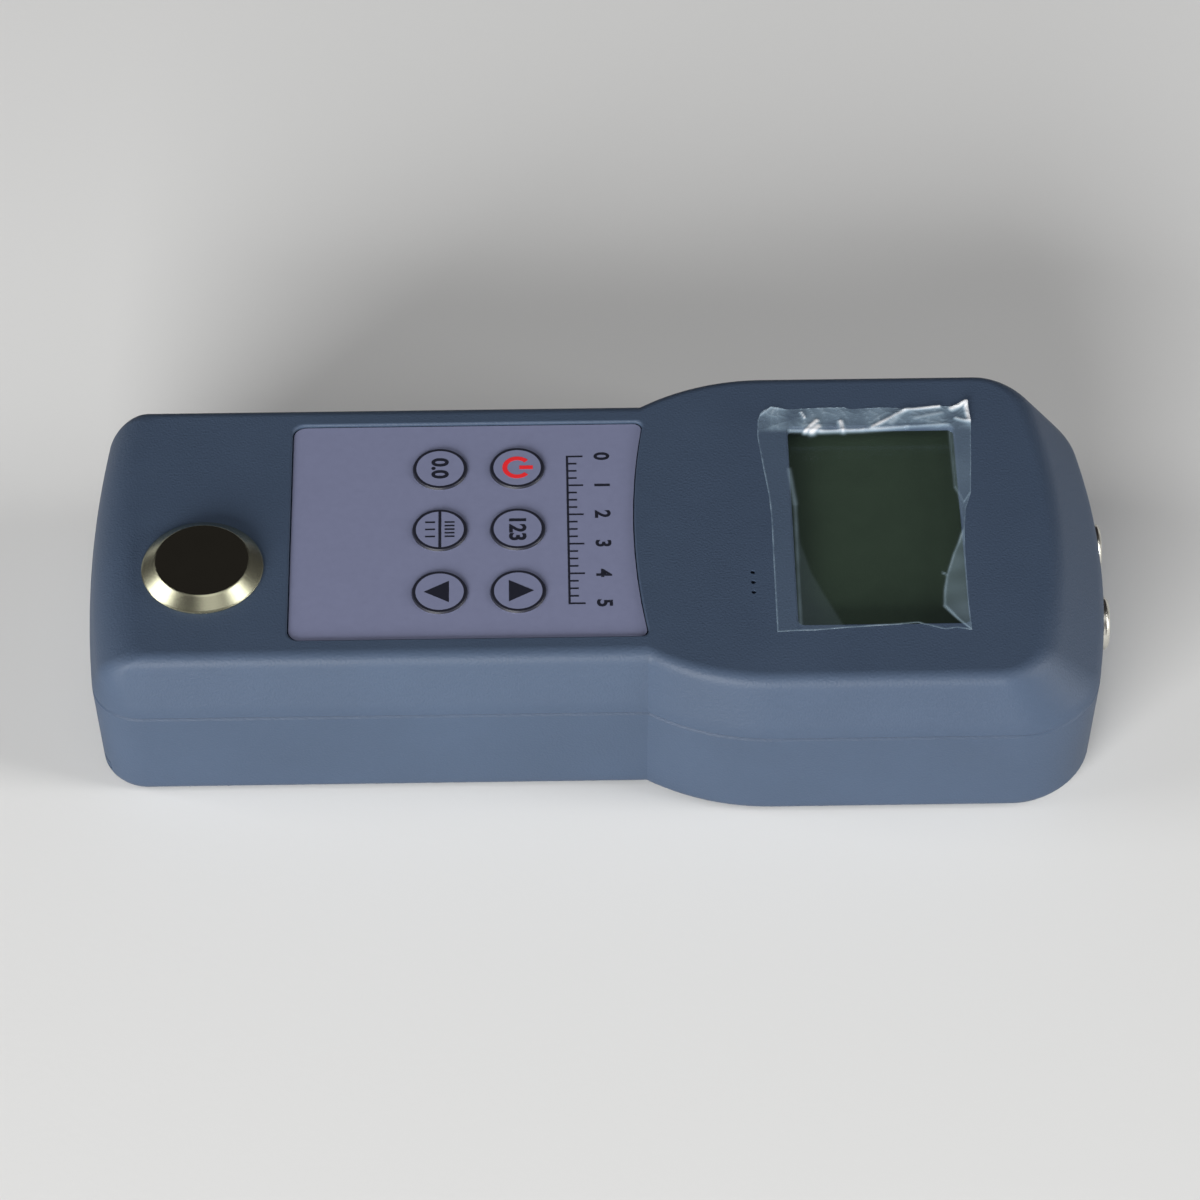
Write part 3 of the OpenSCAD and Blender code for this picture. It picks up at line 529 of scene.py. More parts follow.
def frontOuter():
    # levels from the joint up: a soft shoulder, the rolled tail end, then the face's rounded edge
    form = caseForm
    t = np.linspace(0, 1, form["shoulderRows"])
    z0, share0 = bend(jointZ, leanZ, shoulderZ, t), bend(0, 0, lean(shoulderZ), t)
    groove = form["jointGroove"] * np.clip(1 - (z0 - jointZ) / form["jointGroove"], 0, 1)
    edgeZ = faceZ - form["faceEdge"]
    turnEnd = math.asin(1 - form["faceEdge"] / form["tailEdge"])
    turn = np.linspace(0, turnEnd, form["turnRows"], endpoint=False)
    z1 = faceZ - form["tailEdge"] * (1 - np.sin(turn))
    t = np.linspace(0, 1, form["edgeRows"])
    z2, share2 = bend(edgeZ, faceZ, faceZ, t), bend(lean(edgeZ), 1, 1, t)
    inset = np.hstack([groove, 0 * z1, 0 * z2])
    edge = np.hstack([0 * z0, 0 * z1, form["faceEdge"] * t ** 2])
    rings = frontGrid(np.hstack([z0, z1, z2]), np.hstack([share0, lean(z1), share2]), inset, edge)
    return loftMesh("frontShell", rings)


def rearOuter(name):
    # levels from the back up: its rounded edge, then straight to the groove at the joint
    form = caseForm
    t = np.linspace(0, 1, form["edgeRows"])
    groove = form["jointGroove"]
    z = np.hstack([bend(0, 0, form["backEdge"], t), [jointZ - groove, jointZ]])
    inset = np.hstack([bend(form["backEdge"], 0, 0, t), [0, groove]])
    return loftMesh(name, rearGrid(z, inset))


seatForm = {  # what is cut into the front face
    "labelLength": 55.5, "labelGap": 0.2, "labelCorner": 2.0, "labelBow": 1.9, "labelLip": 0.35,
    "headCorner": 1.2, "bowPoints": 33, "headPoints": 10, "tailPoints": 12,
    "windowInset": 2.0, "windowCorner": 1.0, "windowLip": 0.35, "seatGap": 0.05,
    "wellDiameter": 9.3, "spigotDiameter": 12.1,
    "soundX": 24.1, "soundY": -12.0, "soundPitch": 2.05, "soundDiameter": 0.8, "soundTurns": 24,
}


def labelOutline(grow):
    # the overlay seen from above: four round corners, and a head end that bows in as a parabola
    form = seatForm
    length = form["labelLength"] / 2 + form["labelGap"] + grow
    width = overlayHigh[1] + form["labelGap"] + grow
    r, q = form["labelCorner"], form["headCorner"]
    headPoints, tailPoints = form["headPoints"], form["tailPoints"]
    y = np.linspace(q - width, width - q, form["bowPoints"])
    headX = length - form["labelBow"] * (1 - (y / width) ** 2)
    ring = np.vstack([
        arc(headX[0] - q, q - width, q, -90, 0, headPoints)[:-1], np.column_stack([headX, y]),
        arc(headX[-1] - q, width - q, q, 0, 90, headPoints)[1:],
        arc(r - length, width - r, r, 90, 180, tailPoints),
        arc(r - length, r - width, r, 180, 270, tailPoints),
    ])
    return ring + [overlayLow[0] + form["labelLength"] / 2, 0]


fixForm = {  # bosses and screw holes, hidden inside
    "headDiameter": 5.2, "shankDiameter": 2.6, "bossDiameter": 7.4, "tailY": 13.5, "seatZ": 9.0, "room": 0.3,
    "mouth": 0.4, "depth": 7.5, "boardDepth": 6.0, "boardBoss": 5.4, "boardHole": 2.05, "boardHead": 3.8,
    "boardTailY": 17.55,
}


def screwPlaces(node, headDiameter, tailY):  # two screws towards the tail and two towards the head
    low, high = nodeBox(node)
    reach = headDiameter / 2
    tail = [(low[0] + reach, side * tailY) for side in (-1, 1)]
    return tail + [(high[0] - reach, side * (high[1] - reach)) for side in (-1, 1)]


screwSpots = screwPlaces("case_screws", fixForm["headDiameter"], fixForm["tailY"])
boardSpots = screwPlaces("board_screws", fixForm["boardHead"], fixForm["boardTailY"])


def addFrontShell():
    seat, fix = seatForm, fixForm
    levels = [jointZ - past, jointZ, shoulderZ, ceilingZ]
    leans = [0, 0, lean(shoulderZ), lean(ceilingZ)]
    through = (ceilingZ - past, faceZ + past)
    size = (lensHigh - lensLow)[:2]
    window = roundedPlate(lensMiddle, *(size - 2 * seat["windowInset"]), seat["windowCorner"])
    rebate = roundedPlate(lensMiddle, *(size + 2 * seat["seatGap"]), seat["windowCorner"])
    soundSpots = [(seat["soundX"], seat["soundY"] + i * seat["soundPitch"]) for i in (-1, 0, 1)]
    steps = cut([loftMesh("hollow", frontGrid(levels, leans, [caseForm["wall"]] * 4))])
    steps += join(rods(screwSpots, fix["bossDiameter"], jointZ, ceilingZ + sunk))
    steps += join(rods(boardSpots, fix["boardBoss"], boardTop, ceilingZ + sunk))
    steps += cut(rods(screwSpots, fix["shankDiameter"], jointZ - past, jointZ + fix["depth"]))
    steps += cut(rods(boardSpots, fix["boardHole"], boardTop - past, boardTop + fix["boardDepth"]))
    steps += cut([
        prismMesh(labelOutline, roundedCut(overlayLow[2], faceZ, seat["labelLip"])),
        prismMesh(window, roundedCut(ceilingZ - past, faceZ, seat["windowLip"])),
        prismMesh(rebate, [(ceilingZ - past, 0), (lensHigh[2], 0)]),
    ])
    steps += cut(rods(keySpots.values(), seat["wellDiameter"], *through))
    steps += cut(rods(soundSpots, seat["soundDiameter"], *through, "z", seat["soundTurns"]))
    steps += cut(rods([discSpot], seat["spigotDiameter"], *through))
    mesh = carve(frontOuter(), steps)
    addPiece("frontShell", mesh, casePlastic, "case", ("front_case",), even=True)


addFrontShell()
print("front shell made")

bayForm = {  # battery bay, rails of its cover and seats of the sockets
    "wall": 1.5, "half": 26.85, "top": 13.6, "ribThickness": 1.0, "ribHeight": 2.0, "cellPitch": 11.2,
    "springRoom": 5.5, "coverWidth": 46.8, "coverTop": 2.2, "room": 0.3,
    "railZ": 2.5, "railThickness": 1.2, "railOut": 1.4, "railIn": 1.0, "railRoot": 0.3,
    "padWidth": 11.5, "padThickness": 3.6, "padGap": 0.05, "barrelDiameter": 7.1, "flange": 2.2,
    "flangeRoom": 8.7, "socketZ": 14.2, "socketY": 7.75,
    "lipOut": 1.25, "lipIn": 1.9, "lipHeight": 1.2, "lipRoot": 0.6,
}
flangeSeat = socketFront - bayForm["flange"]
padX = flangeSeat - bayForm["padThickness"]


def railBlocks(gap):  # the cover's plate and its two rails, grown by a gap
    bay = bayForm
    half, end = bay["coverWidth"] / 2, coverHigh[0]
    start, under = (tailX - past, -past) if gap else (tailX, coverLow[2])
    low, high = bay["railZ"] - gap, bay["railZ"] + bay["railThickness"] + gap
    blocks = [boxMesh((start, -half - gap, under), (end + gap, half + gap, bay["coverTop"] + gap))]
    for side in (-1, 1):
        edges = sorted((side * (half - bay["railIn"] - gap), side * (half + bay["railOut"] + gap)))
        if not gap:  # on the cover itself the rails stand on the plate
            inner = sorted((side * (half - bay["railIn"]), side * half))
            foot = bay["coverTop"] - bay["railRoot"]
            blocks.append(boxMesh((start, inner[0], foot), (end, inner[1], high)))
            edges = sorted((side * (half - bay["railRoot"]), side * (half + bay["railOut"])))
        blocks.append(boxMesh((start, edges[0], low), (end + gap, edges[1], high)))
    return blocks


def bayWalls():  # roof, end walls and ribs of the battery bay, and the ledge at the cover's head end
    wall, bay = caseForm["wall"], bayForm
    start, end = platesLow[0], platesHigh[0]
    half, top, thick, rib = bay["half"], bay["top"], bay["wall"], bay["ribThickness"] / 2
    walls = [boxMesh((start - thick, -half, top), (end + thick, half, top + thick))]
    for x in (start - thick, end):
        walls.append(boxMesh((x, -half, wall - sunk), (x + thick, half, top + sunk)))
    for y in bay["cellPitch"] * np.array([-1, 0, 1]):
        low = (start + bay["springRoom"], y - rib, top - bay["ribHeight"])
        walls.append(boxMesh(low, (end - bay["springRoom"], y + rib, top + sunk)))
    ledge = (coverHigh[0] + bay["room"] + wall, half, bay["coverTop"] + bay["room"] + wall)
    return walls + [boxMesh((end, -half, wall / 2), ledge)]


def addRearShell():
    wall, bay, fix = caseForm["wall"], bayForm, fixForm
    lipLow, lipHigh = jointZ - bay["lipRoot"], jointZ + bay["lipHeight"]
    lipInsets = [bay["lipOut"], bay["lipOut"], bay["lipIn"], bay["lipIn"]]
    lip = frontGrid([lipLow, lipHigh, lipHigh, lipLow], np.zeros(4), lipInsets)
    steps = cut([loftMesh("hollow", rearGrid([wall, jointZ + past], [wall, wall]))])
    steps += join([tubeMesh("lip", lip), *bayWalls()])
    steps += join(rods(screwSpots, fix["bossDiameter"], wall / 2, jointZ))
    for side in (-1, 1):  # a web beside each tail boss, and a pad round each socket
        y, ribEnd = side * fix["tailY"], platesLow[0] - bay["wall"] / 2
        web = boxMesh((tailX + wall, y - wall / 2, wall), (ribEnd, y + wall / 2, bay["top"]))
        y, half = side * bay["socketY"], bay["padWidth"] / 2
        low = (padX, y - half, bay["socketZ"] - half)
        steps += join([web, boxMesh(low, (flangeSeat - bay["padGap"], y + half, jointZ))])
    steps += cut(railBlocks(bay["room"]))
    bore, mouth = fix["headDiameter"] / 2 + fix["room"], fix["mouth"]
    profile = [(bore + mouth, -past), (bore + mouth, 0), (bore, mouth), (bore, fix["seatZ"])]
    for spot in screwSpots:
        steps += cut([latheMesh("bore", profile, (*spot, 0), rodTurns)])
        steps += cut(rods([spot], fix["shankDiameter"] + 2 * fix["room"], 0, jointZ + past))
    for side in (-1, 1):
        spot = (0, side * bay["socketY"], bay["socketZ"])
        steps += cut([rodMesh(spot, bay["barrelDiameter"], padX - past, noseX, "x")])
        steps += cut([rodMesh(spot, bay["flangeRoom"], flangeSeat, noseX + past, "x")])
    mesh = carve(rearOuter("rearShell"), steps)
    addPiece("rearShell", mesh, casePlastic, "case", ("rear_case",), even=True)


addRearShell()
print("rear shell made")

gripForm = {"count": 5, "pitch": 2.4, "length": 18.0, "width": 1.2, "depth": 0.6, "start": 16.0}


def addBatteryCover():
    # the stretch of the back that lies over the cells, on its rails, with finger grooves
    grip = gripForm
    plate, *rails = railBlocks(0)
    body = carve(plate, join(rails))
    steps = [("INTERSECT", body)]
    for i in range(grip["count"]):
        x = tailX + grip["start"] + i * grip["pitch"]
        low = (x, -grip["length"] / 2, coverLow[2] - past)
        high = (x + grip["width"], grip["length"] / 2, coverLow[2] + grip["depth"])
        steps += cut([boxMesh(low, high)])
    mesh = carve(rearOuter("batteryCover"), steps)
    addPiece("batteryCover", mesh, casePlastic, "battery_cover", ("battery_cover",),
             even=True)


addBatteryCover()
print("battery cover made")

# keys: low embossed pads whose rim is a printed ring, and a sign on each
keyForm = {"skirt": 0.12, "skirtRise": 0.03, "skirtFoot": 0.1, "rim": 0.16, "ringWidth": 0.60, "turns": 96,
           "inkStep": 0.006, "slopeRows": 9, "innerRadii": (1.2, 0.3)}


def addKey(name):
    # a profile carried round: a thin skirt that nearly fills the opening, a short rise, a flat ringed top
    form = keyForm
    low, high = nodeBox("key_" + name)
    radius = (high[0] - low[0]) / 2
    foot = overlayHigh[2] + form["skirtRise"]
    share = np.linspace(0, 1, form["slopeRows"])
    skirt, ringEnd = radius + form["skirt"], radius - form["ringWidth"]
    r = np.hstack([skirt, skirt, radius + form["inkStep"], radius - form["rim"] * share,
                   ringEnd, ringEnd - form["inkStep"], form["innerRadii"]])
    slope = foot + (high[2] - foot) * ease(share)
    z = np.hstack([overlayLow[2] + form["skirtFoot"], foot, foot, slope, [high[2]] * 4])
    mesh = latheMesh("key_" + name, np.column_stack([r, z]), (*keySpots[name], 0), form["turns"])
    rowInk = np.hstack([np.zeros(3), np.ones(form["slopeRows"] + 1), np.zeros(3)])
    setAttribute(mesh, "ink", np.repeat(rowInk, form["turns"]))
    addPiece("pad_" + name, mesh, keyFilm, "key_" + name, ("key_" + name,), even=True)


for name in keyNames:
    addKey(name)
print("keys made")

# printing: flat shapes with hardly any thickness; right and up are as the user reads them, up to the sockets
printForm = {"thickness": 0.02, "capShare": 0.7}  # capShare is the height of a figure over its font size


def printedMesh(name, shapes, spot, z):
    # each shape is a closed outline of (right, up) points; it becomes a thin prism on the surface
    points, faces, start = [], [], 0
    for shape in shapes:
        right, up = np.asarray(shape, float).T
        count = len(right)
        flat = np.column_stack([spot[0] + up, spot[1] - right])
        levels = (z, z + printForm["thickness"])
        points += [np.column_stack([flat, np.full(count, level)]) for level in levels]
        faces += (gridQuads(2, count) + start).tolist()
        faces += [list(range(start, start + count)), list(range(start + count, start + 2 * count))]
        start += 2 * count
    return meshFrom(name, np.vstack(points), faces)


def digitsMesh(name, body, height, spot, z, bold):
    # plain figures from Blender's own font, centred on a spot and turned the way the user reads them
    thickness = printForm["thickness"]
    curve = bpy.data.curves.new(name, "FONT")
    curve.body = body
    curve.size = height / printForm["capShare"]
    curve.offset = bold
    curve.extrude = thickness / 2
    curve.align_x = "CENTER"
    text = bpy.data.objects.new(name, curve)
    scene.collection.objects.link(text)
    mesh = bpy.data.meshes.new_from_object(text.evaluated_get(bpy.context.evaluated_depsgraph_get()))
    bpy.data.objects.remove(text)
    flat = np.empty(len(mesh.vertices) * 3)
    mesh.vertices.foreach_get("co", flat)
    right, up, over = flat.reshape(-1, 3).T
    middle = (up.min() + up.max()) / 2
    placed = np.column_stack([spot[0] + up - middle, spot[1] - right, z + over + thickness / 2]) * mm
    mesh.vertices.foreach_set("co", placed.ravel())
    mesh.name = name
    mesh.update()
    return mesh


signForm = {
    "powerRadius": 1.95, "powerStroke": 0.78, "powerGap": 42.0, "barTop": 2.5, "barBottom": 0.35,
    "triangleTip": 2.45, "triangleBase": -1.45, "triangleHalf": 2.2, "digitHeight": 2.5, "digitBold": 0.12,
    "dividerWidth": 0.45, "fineCount": 5, "finePitch": 0.75, "coarseCount": 3, "coarsePitch": 1.5,
    "strokeWidth": 0.32, "strokeNear": 0.75, "strokeFar": 2.3,
}


def sector(radius, stroke, start, end, count=40):
    # outline of part of a ring, angles in degrees from the right
    outer = arc(0, 0, radius + stroke / 2, start, end, count)
    return np.vstack([outer, arc(0, 0, radius - stroke / 2, end, start, count)])


def bar(right0, up0, right1, up1):
    return [(right0, up0), (right1, up0), (right1, up1), (right0, up1)]


def strokes(count, pitch, low, high):  # an even row of upright strokes, centred on the key
    half = signForm["strokeWidth"] / 2
    middles = pitch * (np.arange(count) - (count - 1) / 2)
    return [bar(right - half, low, right + half, high) for right in middles]


def addSigns():
    form = signForm
    low, high = nodeBox("key_units")
    half, line = form["powerStroke"] / 2, form["dividerWidth"] / 2
    gap, reach = form["powerGap"], (high[0] - low[0]) / 2 - keyForm["ringWidth"]
    tip, base, wide = form["triangleTip"], form["triangleBase"], form["triangleHalf"]
    near, far = form["strokeNear"], form["strokeFar"]
    shapes = {
        "power": [sector(form["powerRadius"], form["powerStroke"], 90 + gap, 450 - gap),
                  bar(-half, form["barBottom"], half, form["barTop"])],
        "up": [[(-wide, base), (wide, base), (0, tip)]],
        "down": [[(-wide, -base), (0, -tip), (wide, -base)]],
        "units": [bar(-reach, -line, reach, line), *strokes(form["fineCount"], form["finePitch"], near, far),
                  *strokes(form["coarseCount"], form["coarsePitch"], -far, -near)],
    }
    figures = {"zero": "0.0", "code": "123"}
    for name, spot in keySpots.items():
        if name in shapes:
            mesh = printedMesh(name, shapes[name], spot, high[2])
        else:
            mesh = digitsMesh(name, figures[name], form["digitHeight"], spot, high[2], form["digitBold"])
        addPiece("sign_" + name, mesh, redInk if name == "power" else darkInk, "key_" + name)


addSigns()

scaleForm = {  # a plain scale where the overlay is printed towards its head end
    "lineX": -4.3, "start": -15.5, "pitch": 1.55, "steps": 20, "stroke": 0.34, "short": 1.3, "long": 2.3,
    "digitX": 1.0, "digitHeight": 2.3, "digitBold": 0.1, "digitEvery": 4,
}


def addScale():
    form = scaleForm
    z, half = overlayHigh[2], form["stroke"] / 2
    rights = form["start"] + form["pitch"] * np.arange(form["steps"] + 1)
    shapes = [bar(r - half, 0, r + half, form["long"] if i % form["digitEvery"] == 0 else form["short"])
              for i, r in enumerate(rights)]
    shapes.append(bar(rights[0] - half, -form["stroke"], rights[-1] + half, 0))
    ticks = printedMesh("ticks", shapes, (form["lineX"], 0), z)
    addPiece("scale_ticks", ticks, darkInk, "case")
    for number, right in enumerate(rights[::form["digitEvery"]]):
        spot = (form["digitX"], -right)
        mesh = digitsMesh("figure", str(number), form["digitHeight"], spot, z, form["digitBold"])
        addPiece(f"scale_figure_{number}", mesh, darkInk, "case")


addScale()
print("printing made")

# reference disc: a turned cone on a thin foot, lapped flat on top
discForm = {"foot": 0.4, "topDiameter": 14.5, "spigot": 12.0, "edge": 0.12, "turns": 160, "coneRows": 10,
            "topRows": 12, "topStep": 0.02, "topRim": 0.3, "eye": 0.2}
steelDisc = turnedFinish("steelDisc", {
    **shade((0.61, 0.60, 0.43), 0.06), "centre": (*discSpot, 0), "ringScale": 900.0, "ringWobble": 0.6,
    "driftScale": 260.0, "roughness": (0.09, 0.25), "ringDepth": 0.0006, "anisotropic": 0.6,
})


def addDisc():
    # a profile carried round: spigot, foot, cone, then the flat top in to a small eye
    form = discForm
    radius, top, spigot = (discHigh[0] - discLow[0]) / 2, form["topDiameter"] / 2, form["spigot"] / 2
    foot, edge, topZ = faceZ + form["foot"], form["edge"], discHigh[2]
    profile = [(spigot, discLow[2]), (spigot, faceZ), (radius - edge, faceZ), (radius, faceZ + edge),
               (radius, foot - edge)]
    profile += np.linspace((radius - edge, foot), (top + edge, topZ - edge / 2), form["coneRows"]).tolist()
    flat = np.hstack([top - form["topStep"], np.linspace(top - form["topRim"], form["eye"], form["topRows"])])
    profile += [(r, topZ) for r in (top, *flat)]
    mesh = latheMesh("disc", profile, (*discSpot, 0), form["turns"])
    turned = np.arange(len(profile)) < len(profile) - len(flat)
    setAttribute(mesh, "turned", np.repeat(turned, form["turns"]))
    addPiece("referenceDisc", mesh, steelDisc, "case", ("calibration_disc",), sharp=20)


addDisc()
print("disc made")

# probe sockets: turned nickel sleeves with a flange and a countersunk bore
socketForm = {"barrel": 7.0, "flange": 8.4, "bore": 5.0, "boreLength": 7.0, "seat": 5.8, "barrelIn": 10.0,
              "chamfer": 0.5, "lip": 0.35, "edge": 0.14, "turns": 96}
nickelLook = plainLook((0.72, 0.70, 0.63), (0.20, 0.32), 3000.0, 0.002, 1.0, 0.06)
nickelPlate = grainedFinish("nickelPlate", nickelLook)


def addSocket(name):
    # the closed outline of the sleeve's wall, carried round the bore
    form = socketForm
    start, front = padX - form["barrelIn"], nodeBox(name)[1][0]
    barrel, flange, bore, seat = (form[key] / 2 for key in ("barrel", "flange", "bore", "seat"))
    chamfer, lip, boreEnd = form["chamfer"], form["lip"], front - form["boreLength"]
    wall = [(seat, start), (barrel, start), (barrel, flangeSeat), (flange, flangeSeat),
            (flange, front - chamfer), (flange - chamfer, front), (bore + lip, front),
            (bore, front - lip), (bore, boreEnd), (seat, boreEnd)]
    middle = (0, *nodeMiddle(name)[1:])
    grid = latheGrid(softProfile(wall, form["edge"], closed=True), middle, form["turns"], "x")
    addPiece("sleeve_" + name, tubeMesh(name, grid), nickelPlate, "case", (name,), sharp=40)


for name in ("socket_transmit", "socket_receive"):
    addSocket(name)
print("sockets made")

# cells: a steel can with its nub inside a plain grey sleeve with a ring, and the springs on the flat ends
cellForm = {"sleeve": 0.16, "nubDiameter": 3.8, "nub": 1.2, "crimp": 0.55, "turns": 72, "eye": 0.2,
            "heel": (0.5, 0.6), "shoulder": 0.7, "canEdge": 0.3, "sleeveEdge": 0.12, "sleevePoints": 3,
            "bandShare": 0.90, "bandStep": 0.01, "bandColour": (0.05, 0.055, 0.06)}
springForm = {"radius": 3.2, "wire": 0.8, "turns": 3, "steps": 56, "sides": 14, "run": 4.6, "gap": 0.85}
sleeveLook = plainLook((0.50, 0.51, 0.52), (0.28, 0.38), 2400.0, 0.004, share=0.05)
cellSleeve = grainedFinish("cellSleeve", sleeveLook, cellForm["bandColour"])
canSteel = grainedFinish("canSteel", plainLook((0.62, 0.62, 0.60), (0.22, 0.32), 3000.0, 0.003, 1.0, 0.06))


def addCell(number):
    # two profiles carried round the cell's axis; every other cell points the other way
    form = cellForm
    node = f"cell_{number}"
    low, high = nodeBox(node)
    way = 1 if number % 2 else -1
    middle = (low[0] if way > 0 else high[0], *nodeMiddle(node)[1:])
    length, radius = high[0] - low[0], (high[2] - low[2]) / 2
    inner, nub, body = radius - form["sleeve"], form["nubDiameter"] / 2, length - form["nub"]
    eye, shoulder, crimp = form["eye"], form["shoulder"], form["crimp"]
    heelIn, heelUp = form["heel"]
    band = form["bandShare"] * body
    can = softProfile([(eye, 0), (inner - heelIn, 0), (inner, heelUp), (inner, body - shoulder),
                       (inner - shoulder, body), (nub, body), (nub, length), (eye, length)], form["canEdge"])
    sleeve = softProfile([(inner, crimp), (radius, crimp), (radius, band), (radius, band + form["bandStep"]),
                          (radius, body - crimp), (inner, body - crimp)],
                         form["sleeveEdge"], closed=True, count=form["sleevePoints"])
    canGrid, sleeveGrid = (latheGrid(rows * [1, way], middle, form["turns"], "x") for rows in (can, sleeve))
    addPiece(f"can_{number}", loftMesh("can", canGrid), canSteel, "case", (node,))
    mesh = tubeMesh("sleeve", sleeveGrid)
    setAttribute(mesh, "ink", np.repeat(sleeve[:, 1] > band + form["bandStep"] / 2, form["turns"]))
    addPiece(f"sleeve_{number}", mesh, cellSleeve, "case")
    return way, middle


def springGrid(way, middle):
    # a circle of wire carried along a helix: the angle round the axis grows with the way along it
    form = springForm
    along = np.linspace(0, 1, form["turns"] * form["steps"])[:, None]
    spin = np.linspace(0, 2 * math.pi, form["sides"], endpoint=False)[None, :]
    turn = 2 * math.pi * form["turns"] * along
    radius = form["radius"] + form["wire"] / 2 * np.cos(spin)
    x = form["run"] * along + form["wire"] / 2 * np.sin(spin)
    start = (platesLow[0] if way > 0 else platesHigh[0]) + way * form["gap"]
    points = np.stack([start + way * x, radius * np.sin(turn), -way * radius * np.cos(turn)], axis=-1)
    return points + [0, middle[1], middle[2]]


for number in (1, 2, 3, 4):
    mesh = loftMesh("spring", springGrid(*addCell(number)))
    replaced = ("cell_springs",) if number == 1 else ()
    addPiece(f"spring_{number}", mesh, canSteel, "case", replaced, sharp=60)
print("cells made")

# display film: clear, crumpled along the far edge, folded over the window at the near right corner
filmForm = {
    # the four edges, from the middle of the window: near and far run to the right, left and right run away
    "near": ((-16.6, -22.4), (-13.6, -22.2), (-10.9, -22.2), (-5.5, -21.7), (-0.9, -21.4), (2.1, -21.2),
             (5.1, -20.9), (6.9, -21.5), (9.3, -22.3), (11.1, -22.0), (13.4, -22.5)),
    "far": ((-17.3, 24.0), (-15.6, 25.1), (-13.4, 24.6), (-10.0, 24.7), (-4.2, 24.9), (-3.1, 24.5),
            (3.0, 24.7), (5.8, 24.4), (11.2, 24.9), (13.3, 24.6), (15.8, 26.1)),
    "left": ((-16.6, -22.4), (-16.6, -15.1), (-16.6, -7.0), (-16.55, 1.2), (-16.75, 6.0), (-17.4, 11.7),
             (-18.1, 18.9), (-17.9, 22.3), (-17.3, 24.0)),
    "right": ((13.4, -22.5), (13.25, -16.8), (13.35, -7.5), (13.6, -1.8), (14.1, 2.8), (15.1, 6.1),
              (15.6, 13.0), (16.1, 21.3), (15.8, 26.1)),
    "across": 150, "along": 200, "lift": 0.05, "thickness": 0.03,
    # where the doubled, milky right side starts, as x over y: a strip, then the flap
    "flap": ((-22.5, 13.3), (-20.2, 11.2), (-17.6, 9.3), (-14.3, 9.6), (-11.5, 10.1), (-6.7, 11.5),
             (-4.4, 12.4), (-1.4, 13.3), (3.6, 13.0), (7.4, 12.7), (20.0, 12.6), (27.0, 12.6)),
    # how far the film has come off the lens at the near left, as x over y
    "loose": ((-22.0, -5.8), (-18.9, -7.1), (-14.4, -9.0), (-10.3, -10.6), (-4.6, -11.9), (1.2, -12.6),
              (8.0, -13.2)),
    # folds that catch the light, each with a painted glint: from, to, half width, haze that is the painted
    # glint's whiteness
    "folds": (
        ((-17.6, 23.2), (-15.7, 25.0), 0.20, 0.40), ((-15.6, 25.0), (-13.6, 24.6), 0.22, 0.34),
        ((-10.9, 23.9), (-10.4, 22.6), 0.26, 0.85), ((-10.4, 19.6), (-8.5, 21.9), 0.46, 0.97),
        ((-9.4, 19.5), (-8.3, 20.6), 0.60, 0.97), ((-4.7, 21.7), (-4.4, 19.7), 0.50, 0.97),
        ((-12.8, 20.0), (-8.0, 19.8), 0.40, 0.42), ((-8.0, 19.7), (-1.0, 19.9), 0.44, 0.75),
        ((-1.0, 19.9), (6.0, 20.5), 0.44, 0.58), ((6.0, 20.5), (12.4, 20.9), 0.40, 0.42),
        ((0.3, 20.4), (5.8, 24.0), 0.46, 0.80), ((3.4, 21.4), (5.0, 23.6), 0.80, 0.46),
        ((5.8, 24.1), (11.2, 24.7), 0.40, 0.80), ((7.2, 22.3), (11.6, 23.4), 0.55, 0.40),
        ((13.2, 24.3), (15.7, 25.6), 0.62, 0.97), ((15.5, 25.4), (15.9, 21.6), 0.55, 0.92),
        ((13.8, 22.2), (15.6, 21.5), 0.42, 0.75), ((-13.4, 11.6), (-12.7, 4.1), 0.36, 0.17),
        ((-12.7, 4.1), (-12.9, -20.8), 0.30, 0.11), ((12.6, 19.5), (12.7, 7.4), 0.22, 0.12),
        ((12.7, 7.4), (13.9, 4.2), 0.20, 0.22), ((13.9, 4.2), (15.0, 6.2), 0.20, 0.26),
        ((9.6, -10.7), (10.4, -11.2), 0.16, 0.30),
    ),
    "plainHaze": 0.004, "cloudRise": 0.03, "foldRise": 0.28, "mostHaze": 0.97,
    # the far band's whiteness is painted sheen, and the whiteness on its ridges is painted glints
    "bandStart": 19.4, "bandEnd": 21.0, "bandPaintedSheen": 0.15, "bandRise": 0.20, "ridgePaintedGlint": 0.16,
    "stripHaze": 0.07, "milkyFade": 0.25, "flapStart": -1.0, "flapFade": 2.0, "flapHaze": 0.105,
    # the flap's fold line gets a painted highlight
    "flapPaintedHighlight": 0.16, "rimInset": 0.15, "rimWidth": 0.2, "flapRise": 0.35, "flapHinge": 13.4,
    "flapSlope": 4.0,
    "leftHaze": 0.016, "leftEnd": -13.2, "leftFade": 0.4,
    # the loose part's greyness is a painted reflection
    "loosePaintedReflection": 0.024, "looseFade": 0.5, "looseStart": -13.1, "looseStartFade": 0.3, "looseTop": 8.0,
    "looseTopFade": 7.0,
    # the film's cut edges get painted highlights
    "edgeWidth": 0.21, "paintedEdgeGlint": {"near": 0.24, "far": 0.24, "left": 0.20, "right": 0.16},
    # size and seed of the cloud that mottles the haze; size, seed and sharpness of the fine ridges
    "cloud": (3.0, 5), "ridges": ((1.5, 3, 7), (2.6, 8, 12)),
    # share of each whiteness, painted sheen and glints included, that is even, and share that follows the
    # cloud
    "mottle": {"band": (0.5, 1.0), "milky": (0.75, 0.5), "rim": (0.7, 0.6), "fold": (0.7, 0.3),
               "edge": (0.45, 0.8)},
    "edgeRidge": 0.8,
}
noiseForm = {"waves": 14, "rates": (0.6, 1.7), "shift": 6.3, "pace": 2.4, "spread": 4.5}
